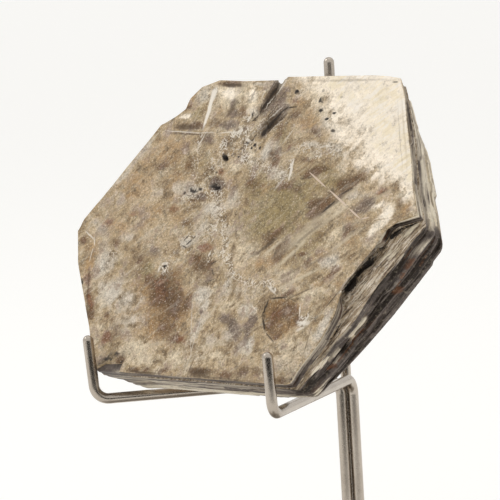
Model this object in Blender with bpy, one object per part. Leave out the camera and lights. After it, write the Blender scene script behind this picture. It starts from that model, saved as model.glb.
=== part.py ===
"""A hexagonal book of mica leaning in a wire display stand.

Metres, +Z up, the crystal faces -Y. The origin is the middle of the base plate's underside.
The crystal is modelled lying in its own frame, x across and y up its cleavage face and z out of
that face, and is then leaned back into the stand.
"""
import math
import random

import bmesh
import bpy
from mathutils import Matrix, Vector

MM = 0.001
GAP = 0.3 * MM                      # clearance kept between pieces that touch

# Stand
ROD_RADIUS = 1.25 * MM
ROD_RESOLUTION = 4                  # 12 sided rods
ROD_PITCH = 2 * ROD_RADIUS + GAP    # between the stem's rods
BASE_SIZE = Vector((90.0, 82.0, 6.0)) * MM
BASE_CORNER_RADIUS = 6.0 * MM
BASE_EDGE_BEVEL = 0.8 * MM
SOCKET_DEPTH = 4.5 * MM
STEM_Y = 22.0 * MM                  # the stem stands behind the base plate's middle
ARM_HEIGHT = 50.0 * MM              # rod axis above the plate
ARM_Z = BASE_SIZE.z + ARM_HEIGHT
STEM = Vector((0.0, STEM_Y, ARM_Z))
ARM_BEND_RADIUS = 4.0 * MM
HOOK_BEND_RADIUS = 3.4 * MM
STEM_TURN = math.radians(45.0)      # direction of the line through the two front rods
# Foot of each hook seen from the stem, height of its tip, and the tip's outward lean.
LEFT_HOOK = (Vector((-33.2, -49.85, 0.0)) * MM, 15.1 * MM, 0.069)
RIGHT_HOOK = (Vector((24.35, -49.65, 0.0)) * MM, 14.1 * MM, 0.105)
PRONG_TOP = 75.8 * MM               # back rod's tip above the arms
PRONG_KNEE = 4.0 * MM               # where it starts to lean towards the crystal

# Crystal
LEAN = math.radians(29.8)           # of the cleavage face from the vertical
THICKNESS = 10.7 * MM
FOOT = Vector((0.0, -48.5, 6.35)) * MM    # front bottom edge, from the stem at arm height
MIDDLE = Vector((-2.0, 37.0)) * MM        # all outlines are star shaped round this point
EDGE_STEP = 2.3 * MM                # spacing of points along the outline
CREASE = 0.06 * MM                  # least drop from one layer to the next
SEED = 11

# Outlines on the cleavage face, in millimetres, anticlockwise from the top left corner.
UPPER_LEFT = (
    (-33.2, 67.2), (-35.7, 65.4), (-38.2, 64.1), (-40.0, 63.1), (-44.8, 55.7), (-50.0, 47.2), (-55.9, 38.4),
)
LEFT = ((-56.8, 35.3), (-52.7, 27.1), (-48.3, 21.0), (-41.3, 11.4), (-33.8, 0.3))
TOP = ((32.7, 74.7), (28.9, 75.2), (-3.7, 75.3), (-5.7, 74.5), (-24.8, 74.5), (-30.0, 72.8), (-32.8, 69.7))
RIGHT = ((50.6, 41.2), (46.4, 48.2), (43.6, 54.6), (39.1, 63.1), (35.7, 70.0))
TORN_EDGE = (
    (28.6, 0.3), (29.5, 3.9), (33.5, 10.9), (35.2, 17.3), (35.1, 23.9), (38.2, 29.7), (40.6, 33.1),
    (42.0, 37.1), (45.8, 40.2),
)
SHELF_EDGE = (
    (29.2, 0.3), (32.1, 5.8), (35.7, 12.2), (39.5, 17.6), (41.9, 24.4), (45.7, 30.5), (49.2, 37.2),
    (51.3, 40.0),
)
SHEET = UPPER_LEFT + LEFT + TORN_EDGE + RIGHT + TOP
SHELF = UPPER_LEFT + LEFT + SHELF_EDGE + RIGHT + TOP
BACK = (
    (-34.5, 70.5), (-39.5, 62.6), (-49.6, 46.4), (-55.6, 37.6), (-56.2, 34.5), (-48.0, 20.2), (-42.0, 12.8),
    (-28.2, 0.7), (20.0, 0.7), (28.2, 1.4), (32.5, 5.5), (37.6, 14.1), (42.8, 22.0), (48.1, 29.8),
    (51.8, 38.0), (47.3, 46.2), (42.5, 53.5), (38.3, 60.6), (34.9, 64.7), (30.4, 71.2), (27.0, 74.2),
    (-31.5, 74.2),
)
BACK_SHEET = (
    (-20.0, 74.0), (-24.0, 66.0), (-31.0, 60.0), (-34.5, 49.0), (-41.0, 42.0), (-44.0, 33.0), (-41.0, 22.0),
    (-36.5, 12.0), (-28.2, 0.8), (20.0, 0.8), (28.0, 1.6), (37.2, 14.3), (42.4, 22.2), (51.2, 38.0),
    (46.8, 46.1), (37.9, 60.4), (30.0, 70.8), (26.6, 74.0),
)
# Depth below the face at which each band of sheets starts, in millimetres.
SHEET_DEPTHS = (0.0, 0.5, 1.5)
SHELF_DEPTH = 2.9
BAND_DEPTHS = (2.9, 3.4, 4.3, 4.9, 5.8, 6.4, 7.3, 8.0, 8.8)
BACK_DEPTHS = (9.6,)
UNDERCUT = ((34.8, 40.8, 21.5, 33.5, 2.6), (43.0, 49.5, 38.0, 42.0, 1.8))  # u and v spans, and how deep
# Largest step back of a band, by side: from each angle round MIDDLE (degrees) up to the next.
RAGGED = ((-180, 0.8), (-130, 0.5), (-50, 1.5), (5, 0.9), (45, 0.5), (135, 0.9))
RAGGED_RUN = (4, 9)                 # a broken stretch takes this many steps along the edge

# Cracks in the face: path in millimetres, width at each of its points, and depth.
CRACKS = {
    "upper_crack": (((-4.1, 76.4), (-5.6, 71.0), (-7.2, 67.6), (-9.9, 64.7)), (2.0, 1.5, 1.7, 0.5), 1.3),
    "lower_crack": (((3.5, 67.3), (0.0, 65.5), (-2.9, 63.3), (-5.7, 59.4)), (0.6, 1.6, 2.0, 1.3), 1.1),
}
CUTTER_RISE = 1.0 * MM              # how far the cutters stand proud of the face
# Hollows in the face: outline in millimetres, depth, and how far the floor draws in.
HOLLOWS = {
    "hexagonal_patch": (
        ((13.9, 20.1), (13.6, 16.0), (15.9, 12.4), (20.2, 9.7), (22.2, 12.0), (25.0, 14.2), (24.7, 16.8),
         (22.9, 19.8), (19.7, 20.7)),
        0.45, 0.9),
    "corner_nick": (
        ((-34.6, -1.0), (-34.9, 2.6), (-29.5, 2.9), (-24.6, 3.2), (-25.6, 0.9), (-26.0, -1.0)), 0.5, 0.8),
}
PITS = ((-14.3, 54.6, 0.8), (-14.3, 47.5, 0.9), (2.1, 71.5, 0.5), (10.9, 68.9, 0.5), (17.6, 61.5, 0.5))


def clear_scene():
    for item in list(bpy.data.objects):
        bpy.data.objects.remove(item, do_unlink=True)


def finish(name, colour, roughness, metallic):
    """A plain Principled material."""
    material = bpy.data.materials.new(name)
    material.use_nodes = True
    shader = material.node_tree.nodes["Principled BSDF"]
    shader.inputs["Base Color"].default_value = (*colour, 1.0)
    shader.inputs["Roughness"].default_value = roughness
    shader.inputs["Metallic"].default_value = metallic
    return material


def add_object(name, data, material=None):
    item = bpy.data.objects.new(name, data)
    bpy.context.scene.collection.objects.link(item)
    if material:
        data.materials.append(material)
    return item


def mesh_object(name, shape, material=None):
    """Turn a bmesh into an object, with its faces pointing out."""
    bmesh.ops.recalc_face_normals(shape, faces=shape.faces)
    mesh = bpy.data.meshes.new(name)
    shape.to_mesh(mesh)
    shape.free()
    return add_object(name, mesh, material)


def cut(target, cutter):
    """Subtract one object from another and keep the cutter out of the model."""
    cutter.hide_render = True
    cutter.display_type = "WIRE"
    modifier = target.modifiers.new(cutter.name, "BOOLEAN")
    modifier.operation = "DIFFERENCE"
    modifier.solver = "EXACT"
    modifier.object = cutter


# ---------------------------------------------------------------- crystal

def at_angle(angle, distance):
    """A place on the face, seen from MIDDLE."""
    return MIDDLE + Vector((math.cos(angle), math.sin(angle))) * distance


def reach(outline, angle):
    """Distance from MIDDLE to an outline in one direction."""
    direction = at_angle(angle, 1.0) - MIDDLE
    corners = [Vector(corner) * MM - MIDDLE for corner in outline]
    best = None
    for start, end in zip(corners, corners[1:] + corners[:1]):
        edge = end - start
        across = direction.cross(edge)
        if abs(across) < 1e-12:
            continue
        along_ray = start.cross(edge) / across
        along_edge = start.cross(direction) / across
        if along_ray > 0.0 and -1e-9 <= along_edge <= 1.0 + 1e-9:
            best = along_ray if best is None else min(best, along_ray)
    return best


def edge_angles():
    """Directions of points spaced evenly along the shelf outline, its corners included."""
    corners = [Vector(corner) * MM - MIDDLE for corner in SHELF]
    angles = []
    for start, end in zip(corners, corners[1:] + corners[:1]):
        steps = max(1, round((end - start).length / EDGE_STEP))
        for step in range(steps):
            point = start.lerp(end, step / steps)
            angles.append(math.atan2(point.y, point.x))
    return sorted(angles)


def ragged_limit(angle):
    degrees = math.degrees(angle)
    return [limit for start, limit in RAGGED if degrees >= start][-1] * MM


def ragged(angles, chance):
    """How far one band of sheets is broken back at each angle."""
    insets = []
    while len(insets) < len(angles):
        depth = chance.random() ** 1.6
        insets += [depth] * chance.randint(*RAGGED_RUN)
    return [inset * ragged_limit(angle) for inset, angle in zip(insets, angles)]


def undercut(distance, angle):
    """Extra depth of the dark hollows under the torn sheet."""
    place = at_angle(angle, distance) / MM
    for low_u, high_u, low_v, high_v, depth in UNDERCUT:
        if low_u < place.x < high_u and low_v < place.y < high_v:
            return depth * MM
    return 0.3 * MM


def band_outlines(angles):
    """Distance from MIDDLE at every angle, for each band of sheets from the face to the back."""
    chance = random.Random(SEED)
    sheet = [reach(SHEET, angle) for angle in angles]
    shelf = [reach(SHELF, angle) for angle in angles]
    back = [reach(BACK, angle) for angle in angles]
    back_sheet = [reach(BACK_SHEET, angle) for angle in angles]
    bands = [(0.0, sheet)]
    for depth in SHEET_DEPTHS[1:]:
        cut_back = [distance - undercut(distance, angle) for distance, angle in zip(sheet, angles)]
        bands.append((depth, cut_back))
    for depth in BAND_DEPTHS:
        blend = (depth - SHELF_DEPTH) / (THICKNESS / MM - SHELF_DEPTH)
        insets = ragged(angles, chance) if depth > SHELF_DEPTH else [0.0] * len(angles)
        bands.append((depth, [
            front + (rear - front) * blend - inset for front, rear, inset in zip(shelf, back, insets)]))
    for depth in BACK_DEPTHS:
        bands.append((depth, back_sheet))
    return bands


def crystal_stack():
    """The book as one closed stack of bands, each with an upright wall and a ledge below the last."""
    angles = edge_angles()
    bands = band_outlines(angles)
    starts = [depth * MM for depth, _ in bands] + [THICKNESS]
    shape = bmesh.new()
    rings = []
    for (_, outline), top, bottom in zip(bands, starts, starts[1:]):
        wall_end = bottom if bottom == THICKNESS else bottom - CREASE
        for depth in (top, wall_end):
            rings.append([
                shape.verts.new((*at_angle(angle, distance), -depth)) for distance, angle in zip(outline, angles)])
    for upper, lower in zip(rings, rings[1:]):
        for index in range(len(angles)):
            after = (index + 1) % len(angles)
            shape.faces.new((upper[index], lower[index], lower[after], upper[after]))
    shape.faces.new(rings[0])
    shape.faces.new(rings[-1][::-1])
    return shape


def crack_cutter(name, path, widths, depth):
    """A V-shaped wedge that follows a path."""
    shape = bmesh.new()
    points = [Vector(point) * MM for point in path]
    depth *= MM
    sections = []
    for index, (point, width) in enumerate(zip(points, widths)):
        onward = points[min(index + 1, len(points) - 1)] - points[max(index - 1, 0)]
        half = width * MM / 2 * (depth + CUTTER_RISE) / depth
        side = Vector((-onward.y, onward.x)).normalized() * half
        sections.append([
            shape.verts.new((*(point + side), CUTTER_RISE)),
            shape.verts.new((*point, -depth)),
            shape.verts.new((*(point - side), CUTTER_RISE))])
    for near, far in zip(sections, sections[1:]):
        for corner in range(3):
            after = (corner + 1) % 3
            shape.faces.new((near[corner], near[after], far[after], far[corner]))
    shape.faces.new(sections[0][::-1])
    shape.faces.new(sections[-1])
    return mesh_object(name, shape)


def hollow_cutter(name, outline, depth, draw_in):
    """A tapered prism that stands proud of the face."""
    shape = bmesh.new()
    corners = [Vector(corner) * MM for corner in outline]
    centre = sum(corners, Vector((0.0, 0.0))) / len(corners)
    rim = [shape.verts.new((*corner, CUTTER_RISE)) for corner in corners]
    floor = [shape.verts.new((*centre.lerp(corner, draw_in), -depth * MM)) for corner in corners]
    for index in range(len(rim)):
        after = (index + 1) % len(rim)
        shape.faces.new((rim[index], floor[index], floor[after], rim[after]))
    shape.faces.new(rim[::-1])
    shape.faces.new(floor)
    return mesh_object(name, shape)


def pit_cutter(name, across, up, radius):
    """A small cone with its point in the crystal."""
    shape = bmesh.new()
    bmesh.ops.create_cone(
        shape, segments=7, radius1=0.1 * MM, radius2=radius * 1.6 * MM, depth=radius * 2.4 * MM, cap_ends=True,
        matrix=Matrix.Translation(Vector((across, up, 0.0)) * MM))
    return mesh_object(name, shape)


def make_crystal(material):
    crystal = mesh_object("mica_crystal", crystal_stack(), material)
    crystal.rotation_euler = (math.pi / 2 - LEAN, 0.0, 0.0)
    crystal.location = STEM + FOOT
    cutters = [crack_cutter(name, *values) for name, values in CRACKS.items()]
    cutters += [hollow_cutter(name, *values) for name, values in HOLLOWS.items()]
    cutters += [pit_cutter(f"pit_{index}", *values) for index, values in enumerate(PITS)]
    for cutter in cutters:
        cutter.parent = crystal
        cut(crystal, cutter)
    return crystal


# ---------------------------------------------------------------- stand

def bend(before, corner, after, radius, steps=5):
    """Points of the arc that rounds one corner of a rod."""
    towards = (before - corner).normalized()
    away = (after - corner).normalized()
    half = towards.angle(away) / 2
    centre = corner + (towards + away).normalized() * (radius / math.sin(half))
    start = corner + towards * (radius / math.tan(half)) - centre
    end = corner + away * (radius / math.tan(half)) - centre
    sweep = math.pi - 2 * half
    turns = [sweep * step / steps for step in range(steps + 1)]
    return [centre + (start * math.sin(sweep - turn) + end * math.sin(turn)) / math.sin(sweep) for turn in turns]


def rod(name, points, material):
    """A round rod through the points, with a domed tip at its last one."""
    tip = points[-1]
    direction = (tip - points[-2]).normalized()
    dome = [(0.0, 1.0), (0.5, 0.87), (0.87, 0.5), (1.0, 0.12)]
    route = [(point, 1.0) for point in points[:-1]]
    route += [(tip + direction * ROD_RADIUS * (height - 1.0), width) for height, width in dome]
    curve = bpy.data.curves.new(name, "CURVE")
    curve.dimensions = "3D"
    curve.bevel_depth = ROD_RADIUS
    curve.bevel_resolution = ROD_RESOLUTION
    curve.use_fill_caps = True
    spline = curve.splines.new("POLY")
    spline.points.add(len(route) - 1)
    for place, (point, width) in zip(spline.points, route):
        place.co = (*point, 1.0)
        place.radius = width
    return add_object(name, curve, material)


def stem_places():
    """Centres of the left, right and back rods round the stem's axis."""
    along = Vector((math.cos(STEM_TURN), math.sin(STEM_TURN), 0.0))
    behind = Vector((-along.y, along.x, 0.0))
    return {
        "left": STEM - along * (ROD_PITCH / 2),
        "right": STEM + along * (ROD_PITCH / 2),
        "back": STEM + behind * (ROD_PITCH * math.sin(math.pi / 3)),
    }


def socket_floor(place):
    return Vector((place.x, place.y, BASE_SIZE.z - SOCKET_DEPTH + GAP))


def make_hook_rod(name, place, hook, material):
    reach_out, height, lean = hook
    foot = STEM + reach_out
    outward = (foot - place).normalized()
    tip = foot + outward * lean * height + Vector((0.0, 0.0, height))
    points = [socket_floor(place)]
    points += bend(points[0], place, foot, ARM_BEND_RADIUS)
    points += bend(place, foot, tip, HOOK_BEND_RADIUS)
    points.append(tip)
    return rod(name, points, material)


def make_back_rod(name, place, material):
    """It leans forward from its knee until it is a gap away from the crystal's top back edge."""
    up_face = Vector((0.0, math.sin(LEAN), math.cos(LEAN)))
    out_of_face = Vector((0.0, -math.cos(LEAN), math.sin(LEAN)))
    rest = STEM + FOOT + up_face * (BACK[-1][1] * MM) - out_of_face * THICKNESS
    knee = place + Vector((0.0, 0.0, PRONG_KNEE))
    forward = Vector((math.sin(STEM_TURN), -math.cos(STEM_TURN), 0.0))
    needed = (knee.y - (rest.y + ROD_RADIUS + GAP)) / math.cos(STEM_TURN)
    slope = needed / (rest.z - knee.z)
    rise = PRONG_TOP - PRONG_KNEE
    tip = knee + forward * slope * rise + Vector((0.0, 0.0, rise))
    return rod(name, [socket_floor(place), knee, tip], material)


def make_base(material, places):
    """A plate with round corners and eased edges, drilled where the stem stands in it."""
    shape = bmesh.new()
    lift = Matrix.Translation((0.0, 0.0, BASE_SIZE.z / 2))
    bmesh.ops.create_cube(shape, size=1.0, matrix=lift @ Matrix.Diagonal((*BASE_SIZE, 1.0)))
    upright = [edge for edge in shape.edges if abs(edge.verts[0].co.z - edge.verts[1].co.z) > BASE_SIZE.z / 2]
    bmesh.ops.bevel(shape, geom=upright, offset=BASE_CORNER_RADIUS, segments=6, profile=0.5, affect="EDGES")
    level = [face for face in shape.faces if abs(face.normal.z) > 0.9]
    rims = [edge for face in level for edge in face.edges]
    bmesh.ops.bevel(shape, geom=rims, offset=BASE_EDGE_BEVEL, segments=2, profile=0.5, affect="EDGES")
    plate = mesh_object("base_plate", shape, material)
    for side, place in places.items():
        drill = bmesh.new()
        bmesh.ops.create_cone(
            drill, segments=16, radius1=ROD_RADIUS + GAP, radius2=ROD_RADIUS + GAP, depth=SOCKET_DEPTH * 2,
            cap_ends=True, matrix=Matrix.Translation((place.x, place.y, BASE_SIZE.z)))
        cut(plate, mesh_object(f"{side}_drill", drill))
    return plate


def main():
    clear_scene()
    mica = finish("mica", (0.42, 0.33, 0.22), 0.45, 0.0)
    steel = finish("brushed_stainless_steel", (0.55, 0.53, 0.50), 0.3, 1.0)
    places = stem_places()
    pieces = [
        make_crystal(mica),
        make_hook_rod("left_hook_rod", places["left"], LEFT_HOOK, steel),
        make_hook_rod("right_hook_rod", places["right"], RIGHT_HOOK, steel),
        make_back_rod("back_rod", places["back"], steel),
        make_base(steel, places),
    ]
    display = add_object("mica_display", None)
    for piece in pieces:
        piece.parent = display


main()
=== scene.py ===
"""The looks of a layered mica crystal in its bent steel rod stand.

Everything is in metres, +Z up. The crystal has a flat frame of its own: u runs across its
cleavage face, v up it, and w out of it, with w = 0 at the face. Its pieces are shaped lying
in that frame and are then leaned back into the stand.
"""

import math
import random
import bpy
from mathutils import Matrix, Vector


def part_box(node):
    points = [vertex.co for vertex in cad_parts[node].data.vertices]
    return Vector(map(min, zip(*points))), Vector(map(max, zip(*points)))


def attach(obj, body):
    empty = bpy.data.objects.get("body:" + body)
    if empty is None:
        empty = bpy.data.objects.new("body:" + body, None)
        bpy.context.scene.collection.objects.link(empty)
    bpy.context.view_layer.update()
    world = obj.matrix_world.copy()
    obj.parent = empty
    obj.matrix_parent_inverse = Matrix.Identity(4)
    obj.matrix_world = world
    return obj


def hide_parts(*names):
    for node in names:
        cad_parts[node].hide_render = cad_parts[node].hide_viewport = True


bl_info = {
    "name": "Mica Crystal on a Wire Stand",
    "version": (1, 0, 0),
    "blender": (4, 5, 0),
    "location": "View3D > Sidebar > Mica",
    "description": "Builds a layered mica crystal, the bent rod stand that holds it, and a plain studio",
    "category": "Object",
}

import bpy
import numpy as np
from bpy.props import FloatProperty, FloatVectorProperty, IntProperty, PointerProperty
from mathutils import Matrix, Vector, noise
from mathutils.bvhtree import BVHTree

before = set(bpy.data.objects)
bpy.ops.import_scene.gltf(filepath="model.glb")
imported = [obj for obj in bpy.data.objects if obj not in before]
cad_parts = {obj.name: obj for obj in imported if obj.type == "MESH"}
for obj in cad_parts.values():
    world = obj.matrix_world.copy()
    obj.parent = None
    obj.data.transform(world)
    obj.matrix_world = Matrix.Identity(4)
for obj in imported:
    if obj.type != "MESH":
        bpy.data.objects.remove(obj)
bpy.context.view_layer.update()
MM = 0.001

# The crystal's own frame, found from its solid: which way it leans, and where its foot stands.
LEAN = math.radians(29.8)
THICKNESS = 10.7 * MM
LOWEST_FACE_V = 0.3 * MM            # the face's lowest edge above its foot line
LOWEST_BACK_V = 0.7 * MM
MIDDLE = Vector((-2.0, 37.0)) * MM  # every outline is star shaped round this point
MICA_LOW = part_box("mica_crystal")[0]
FOOT = Vector((
    0.0,
    MICA_LOW.y - LOWEST_FACE_V * math.sin(LEAN),
    MICA_LOW.z + THICKNESS * math.sin(LEAN) - LOWEST_BACK_V * math.cos(LEAN)))
LEANED = Matrix.Translation(FOOT) @ Matrix.Rotation(math.pi / 2 - LEAN, 4, "X")
BASE_LOW, BASE_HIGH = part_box("base_plate")
ROD_RADIUS = 1.25 * MM
ALMOST = 1e-6                       # metres: points nearer than this are one


# ---------------------------------------------------------------- settings

def linear(code):
    """An sRGB hex colour as linear red, green, blue and alpha."""
    channels = [int(code[place:place + 2], 16) / 255 for place in (1, 3, 5)]
    return (*(c / 12.92 if c <= 0.04045 else ((c + 0.055) / 1.055) ** 2.4 for c in channels), 1.0)


class CrystalSettings(bpy.types.PropertyGroup):
    around: IntProperty(
        name="Points round the edge", description="Points along the crystal's outline", default=590,
        min=60)
    laminae: IntProperty(
        name="Laminae", description="Sheets that show in the crystal's sides", default=40, min=8)
    raggedness: FloatProperty(
        name="Raggedness", description="Largest step back of one broken sheet", default=0.9 * MM,
        unit="LENGTH")
    seed: IntProperty(name="Seed", description="Start of every random draw", default=7)
    mica_colour: FloatVectorProperty(
        name="Mica", description="Ground colour of the cleavage face", subtype="COLOR", size=3,
        default=linear("#B09A7A")[:3])
    # Pale cleavage colour, laid on partly as a painted sheen over the upper right corner.
    painted_sheen_colour: FloatVectorProperty(
        name="Pearl", description="Colour of the cleanest cleavage", subtype="COLOR", size=3,
        default=linear("#F4E6D1")[:3])
    stain_colour: FloatVectorProperty(
        name="Stain", description="Colour of the brown stains", subtype="COLOR", size=3,
        default=linear("#5A3D1D")[:3])
    edge_colour: FloatVectorProperty(
        name="Sheet edges", description="Colour of the dirt between the sheets", subtype="COLOR", size=3,
        default=linear("#2A2119")[:3])


class StandSettings(bpy.types.PropertyGroup):
    rod_sides: IntProperty(name="Rod sides", description="Flats round each rod", default=32, min=8)
    bend_steps: IntProperty(name="Bend steps", description="Sections in each bend", default=12, min=4)
    arm_bend: FloatProperty(
        name="Arm bend", description="Radius of the bend from stem to arm", default=4.0 * MM, unit="LENGTH")
    hook_bend: FloatProperty(
        name="Hook bend", description="Radius of the bend from arm to hook", default=3.4 * MM, unit="LENGTH")
    rod_colour: FloatVectorProperty(
        name="Rods", description="Colour of the rods' steel", subtype="COLOR", size=3,
        default=linear("#C2B8AC")[:3])
    plate_colour: FloatVectorProperty(
        name="Plate", description="Colour of the base plate's steel", subtype="COLOR", size=3,
        default=linear("#A39E97")[:3])


class StageSettings(bpy.types.PropertyGroup):
    lens: FloatProperty(name="Lens", description="Focal length in millimetres", default=216.0, min=20.0)
    azimuth: FloatProperty(
        name="Azimuth", description="Camera's turn to the right of the front", default=math.radians(45.192),
        subtype="ANGLE", unit="ROTATION")
    elevation: FloatProperty(
        name="Elevation", description="Camera's height above level", default=math.radians(5.317),
        subtype="ANGLE", unit="ROTATION")
    roll: FloatProperty(
        name="Roll", description="Camera's tilt about its own axis", default=math.radians(-3.358),
        subtype="ANGLE", unit="ROTATION")
    distance: FloatProperty(
        name="Distance", description="From the camera to the stem's plane", default=0.708, unit="LENGTH")
    floor_colour: FloatVectorProperty(
        name="Floor", description="Colour of the floor", subtype="COLOR", default=(0.82, 0.815, 0.8), size=3)


# ---------------------------------------------------------------- working by hand

def clear_selection():
    if bpy.context.mode != "OBJECT":
        bpy.ops.object.mode_set(mode="OBJECT")
    bpy.ops.object.select_all(action="DESELECT")


def begin(name, primitive, **settings):
    """Add a primitive with nothing else selected, and name it."""
    clear_selection()
    primitive(**settings)
    piece = bpy.context.object
    piece.name = name
    piece.data.name = name
    return piece


def activate(piece):
    clear_selection()
    bpy.context.view_layer.objects.active = piece
    piece.select_set(True)


def choose(piece, kind, test):
    """Select a mesh's vertices, edges or faces that pass a test, and go into edit mode."""
    activate(piece)
    bpy.ops.object.mode_set(mode="EDIT")
    bpy.ops.mesh.select_mode(type=kind)
    bpy.ops.mesh.select_all(action="DESELECT")
    bpy.ops.object.mode_set(mode="OBJECT")
    elements = {"VERT": piece.data.vertices, "EDGE": piece.data.edges, "FACE": piece.data.polygons}[kind]
    for element in elements:
        element.select = test(element)
    bpy.ops.object.mode_set(mode="EDIT")


def leave_edit():
    bpy.ops.object.mode_set(mode="OBJECT")


def close_up(piece):
    """Merge doubles and point every face out."""
    choose(piece, "VERT", lambda vertex: True)
    bpy.ops.mesh.remove_doubles(threshold=ALMOST)
    bpy.ops.mesh.normals_make_consistent(inside=False)
    leave_edit()


def round_off(piece, angle=35.0):
    activate(piece)
    bpy.ops.object.shade_smooth_by_angle(angle=math.radians(angle))


def apply_place(piece):
    activate(piece)
    bpy.ops.object.transform_apply(location=True, rotation=True, scale=True)


def apply_modifiers(piece):
    activate(piece)
    for modifier in list(piece.modifiers):
        bpy.ops.object.modifier_apply(modifier=modifier.name)


def hand_over(piece, material_slot, *nodes):
    """Fix a finished piece to the frame."""
    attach(piece, "root")
    if nodes:
        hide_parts(*nodes)


# ---------------------------------------------------------------- materials

def new_material(name):
    material = bpy.data.materials.new(name)
    material.use_nodes = True
    return material, material.node_tree.nodes["Principled BSDF"]


def node(owner, kind, settings, inputs, output=0):
    """Add one node with its settings, link or set its inputs, and return one of its outputs."""
    tree = owner.node_tree
    made = tree.nodes.new("ShaderNode" + kind)
    for key, value in settings.items():
        setattr(made, key, value)
    for key, value in inputs.items():
        if isinstance(value, bpy.types.NodeSocket):
            tree.links.new(value, made.inputs[key])
        else:
            made.inputs[key].default_value = value
    return made.outputs[output]


def wire(material, shader, links):
    """Link patterns to the shader's sockets, and set the values that are the same all over."""
    for key, value in links.items():
        if isinstance(value, bpy.types.NodeSocket):
            material.node_tree.links.new(value, shader.inputs[key])
        else:
            shader.inputs[key].default_value = value


def crystal_places(material):
    """Object coordinates turned into the crystal's own frame, in millimetres."""
    places = node(material, "TexCoord", {}, {}, "Object")
    return node(material, "Mapping", {"vector_type": "TEXTURE"}, {
        "Vector": places, "Location": FOOT, "Rotation": (math.pi / 2 - LEAN, 0.0, 0.0),
        "Scale": (MM, MM, MM)})


def grains(material, places, table):
    """Several noises at once: each has its blotch size in millimetres along u, v and w, its turn in
    degrees, its detail and its roughness."""
    found = []
    for size, turn, detail, roughness in table:
        turned = node(material, "Mapping", {}, {
            "Vector": places, "Rotation": (0.0, 0.0, math.radians(turn))})
        scaled = node(material, "VectorMath", {"operation": "DIVIDE"}, {0: turned, 1: size})
        found.append(node(material, "TexNoise", {}, {
            "Vector": scaled, "Scale": 1.0, "Detail": detail, "Roughness": roughness}))
    return found


def glaze(material, colour, coats):
    """Lay thin coats of colour over each other: each shows where its pattern passes from low to high."""
    for pattern, low, high, strength, tint in coats:
        amount = node(material, "MapRange", {"interpolation_type": "SMOOTHSTEP"}, {
            "Value": pattern, "From Min": low, "From Max": high, "To Max": strength})
        tint = linear(tint) if isinstance(tint, str) else (*tint, 1.0)
        colour = node(material, "Mix", {"data_type": "RGBA"}, {0: amount, 6: colour, 7: tint}, 2)
    return colour


def frayed(material, name, pattern, spread):
    """A mask painted on the mesh, from 0 to 1, with its soft edge broken up by a noise."""
    mask = node(material, "Attribute", {"attribute_name": name}, {}, "Fac")
    centred = node(material, "Math", {"operation": "SUBTRACT"}, {0: pattern, 1: 0.5})
    return node(material, "Math", {"operation": "MULTIPLY_ADD"}, {0: centred, 1: spread, 2: mask})


def satin_steel(settings):
    """Stainless spring rod, centreless ground and lightly polished: soft long highlights."""
    material, shader = new_material("satin_stainless_rod")
    places = node(material, "TexCoord", {}, {}, "Object")
    wide, fine = (node(material, "TexNoise", {}, {"Vector": places, "Scale": scale, "Detail": 3.0})
                  for scale in (90.0, 900.0))
    wire(material, shader, {
        "Base Color": glaze(material, (*settings.rod_colour, 1.0), [(wide, 0.3, 0.7, 0.6, "#A89D90")]),
        "Metallic": 1.0,
        "Roughness": node(material, "MapRange", {}, {"Value": fine, "To Min": 0.16, "To Max": 0.34})})
    return material


def brushed_plate(settings):
    """Stainless sheet, brushed one way with 180 grit: long fine lines and a stretched highlight."""
    material, shader = new_material("brushed_stainless_plate")
    places = node(material, "TexCoord", {}, {}, "Object")
    lines = node(material, "Mapping", {}, {"Vector": places, "Scale": (30.0, 2600.0, 300.0)})
    brush = node(material, "TexNoise", {}, {"Vector": lines, "Scale": 1.0, "Detail": 3.0})
    wire(material, shader, {
        "Base Color": glaze(material, (*settings.plate_colour, 1.0), [(brush, 0.2, 0.8, 0.8, "#C4BFB8")]),
        "Metallic": 1.0,
        "Roughness": node(material, "MapRange", {}, {"Value": brush, "To Min": 0.2, "To Max": 0.46}),
        "Normal": node(material, "Bump", {}, {"Height": brush, "Strength": 0.25, "Distance": 0.02 * MM})})
    return material


LINE_DEPTH = 1000.0                 # millimetres: a line's pattern goes right through the crystal
# Thin lines on the face: centre u and v, half length, half width (mm), angle (degrees), strength.
PALE_LINES = (
    (-25.3, 67.7, 6.6, 0.8, 90.5, 1), (-25.2, 71.6, 2.6, 1.2, 90, 0.9), (-24, 59.6, 3.5, 0.3, 78, 0.5),
    (-32, 61.75, 7.5, 0.2, -3, 0.6), (-24, 61.5, 5, 0.2, 0, 0.5), (-16, 61.6, 4.5, 0.25, 4, 0.6),
    (8.3, 52.2, 3.6, 0.55, 97, 0.8), (6, 48.5, 2.5, 0.5, 60, 0.4), (-7, 12.4, 10.5, 0.22, -68.5, 0.45),
    (-4.7, 9.5, 10, 0.2, -88, 0.4), (14.4, 22.6, 2.6, 0.4, -30, 0.6), (24.6, 18, 2, 0.3, 97, 0.8),
    (27, 15.2, 2.4, 0.8, 5, 0.6), (26.3, 13.8, 1.6, 0.5, 30, 0.5), (-52, 34.6, 3, 0.3, -28, 0.6),
    (-49.6, 33, 1.6, 0.3, -70, 0.6), (-49.2, 29.5, 2.6, 0.25, -84, 0.5), (4, 60.5, 3, 0.3, 60, 0.3),
    (16, 58, 3, 0.4, 10, 0.4), (-22.8, 27.9, 1.3, 0.5, 8, 0.6), (-23.9, 26.4, 1.2, 0.5, 80, 0.6),
    (-21.9, 26.2, 1.3, 0.4, 60, 0.5), (-3.6, 72.6, 3.6, 0.25, 62, 0.6), (-6.4, 69.4, 3, 0.2, 64, 0.6),
    (-2.6, 66.6, 3.4, 0.25, 44, 0.5), (-8.6, 71.4, 2.2, 0.25, 78, 0.4), (-1.2, 63.4, 3, 0.2, 46, 0.5),
)
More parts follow.
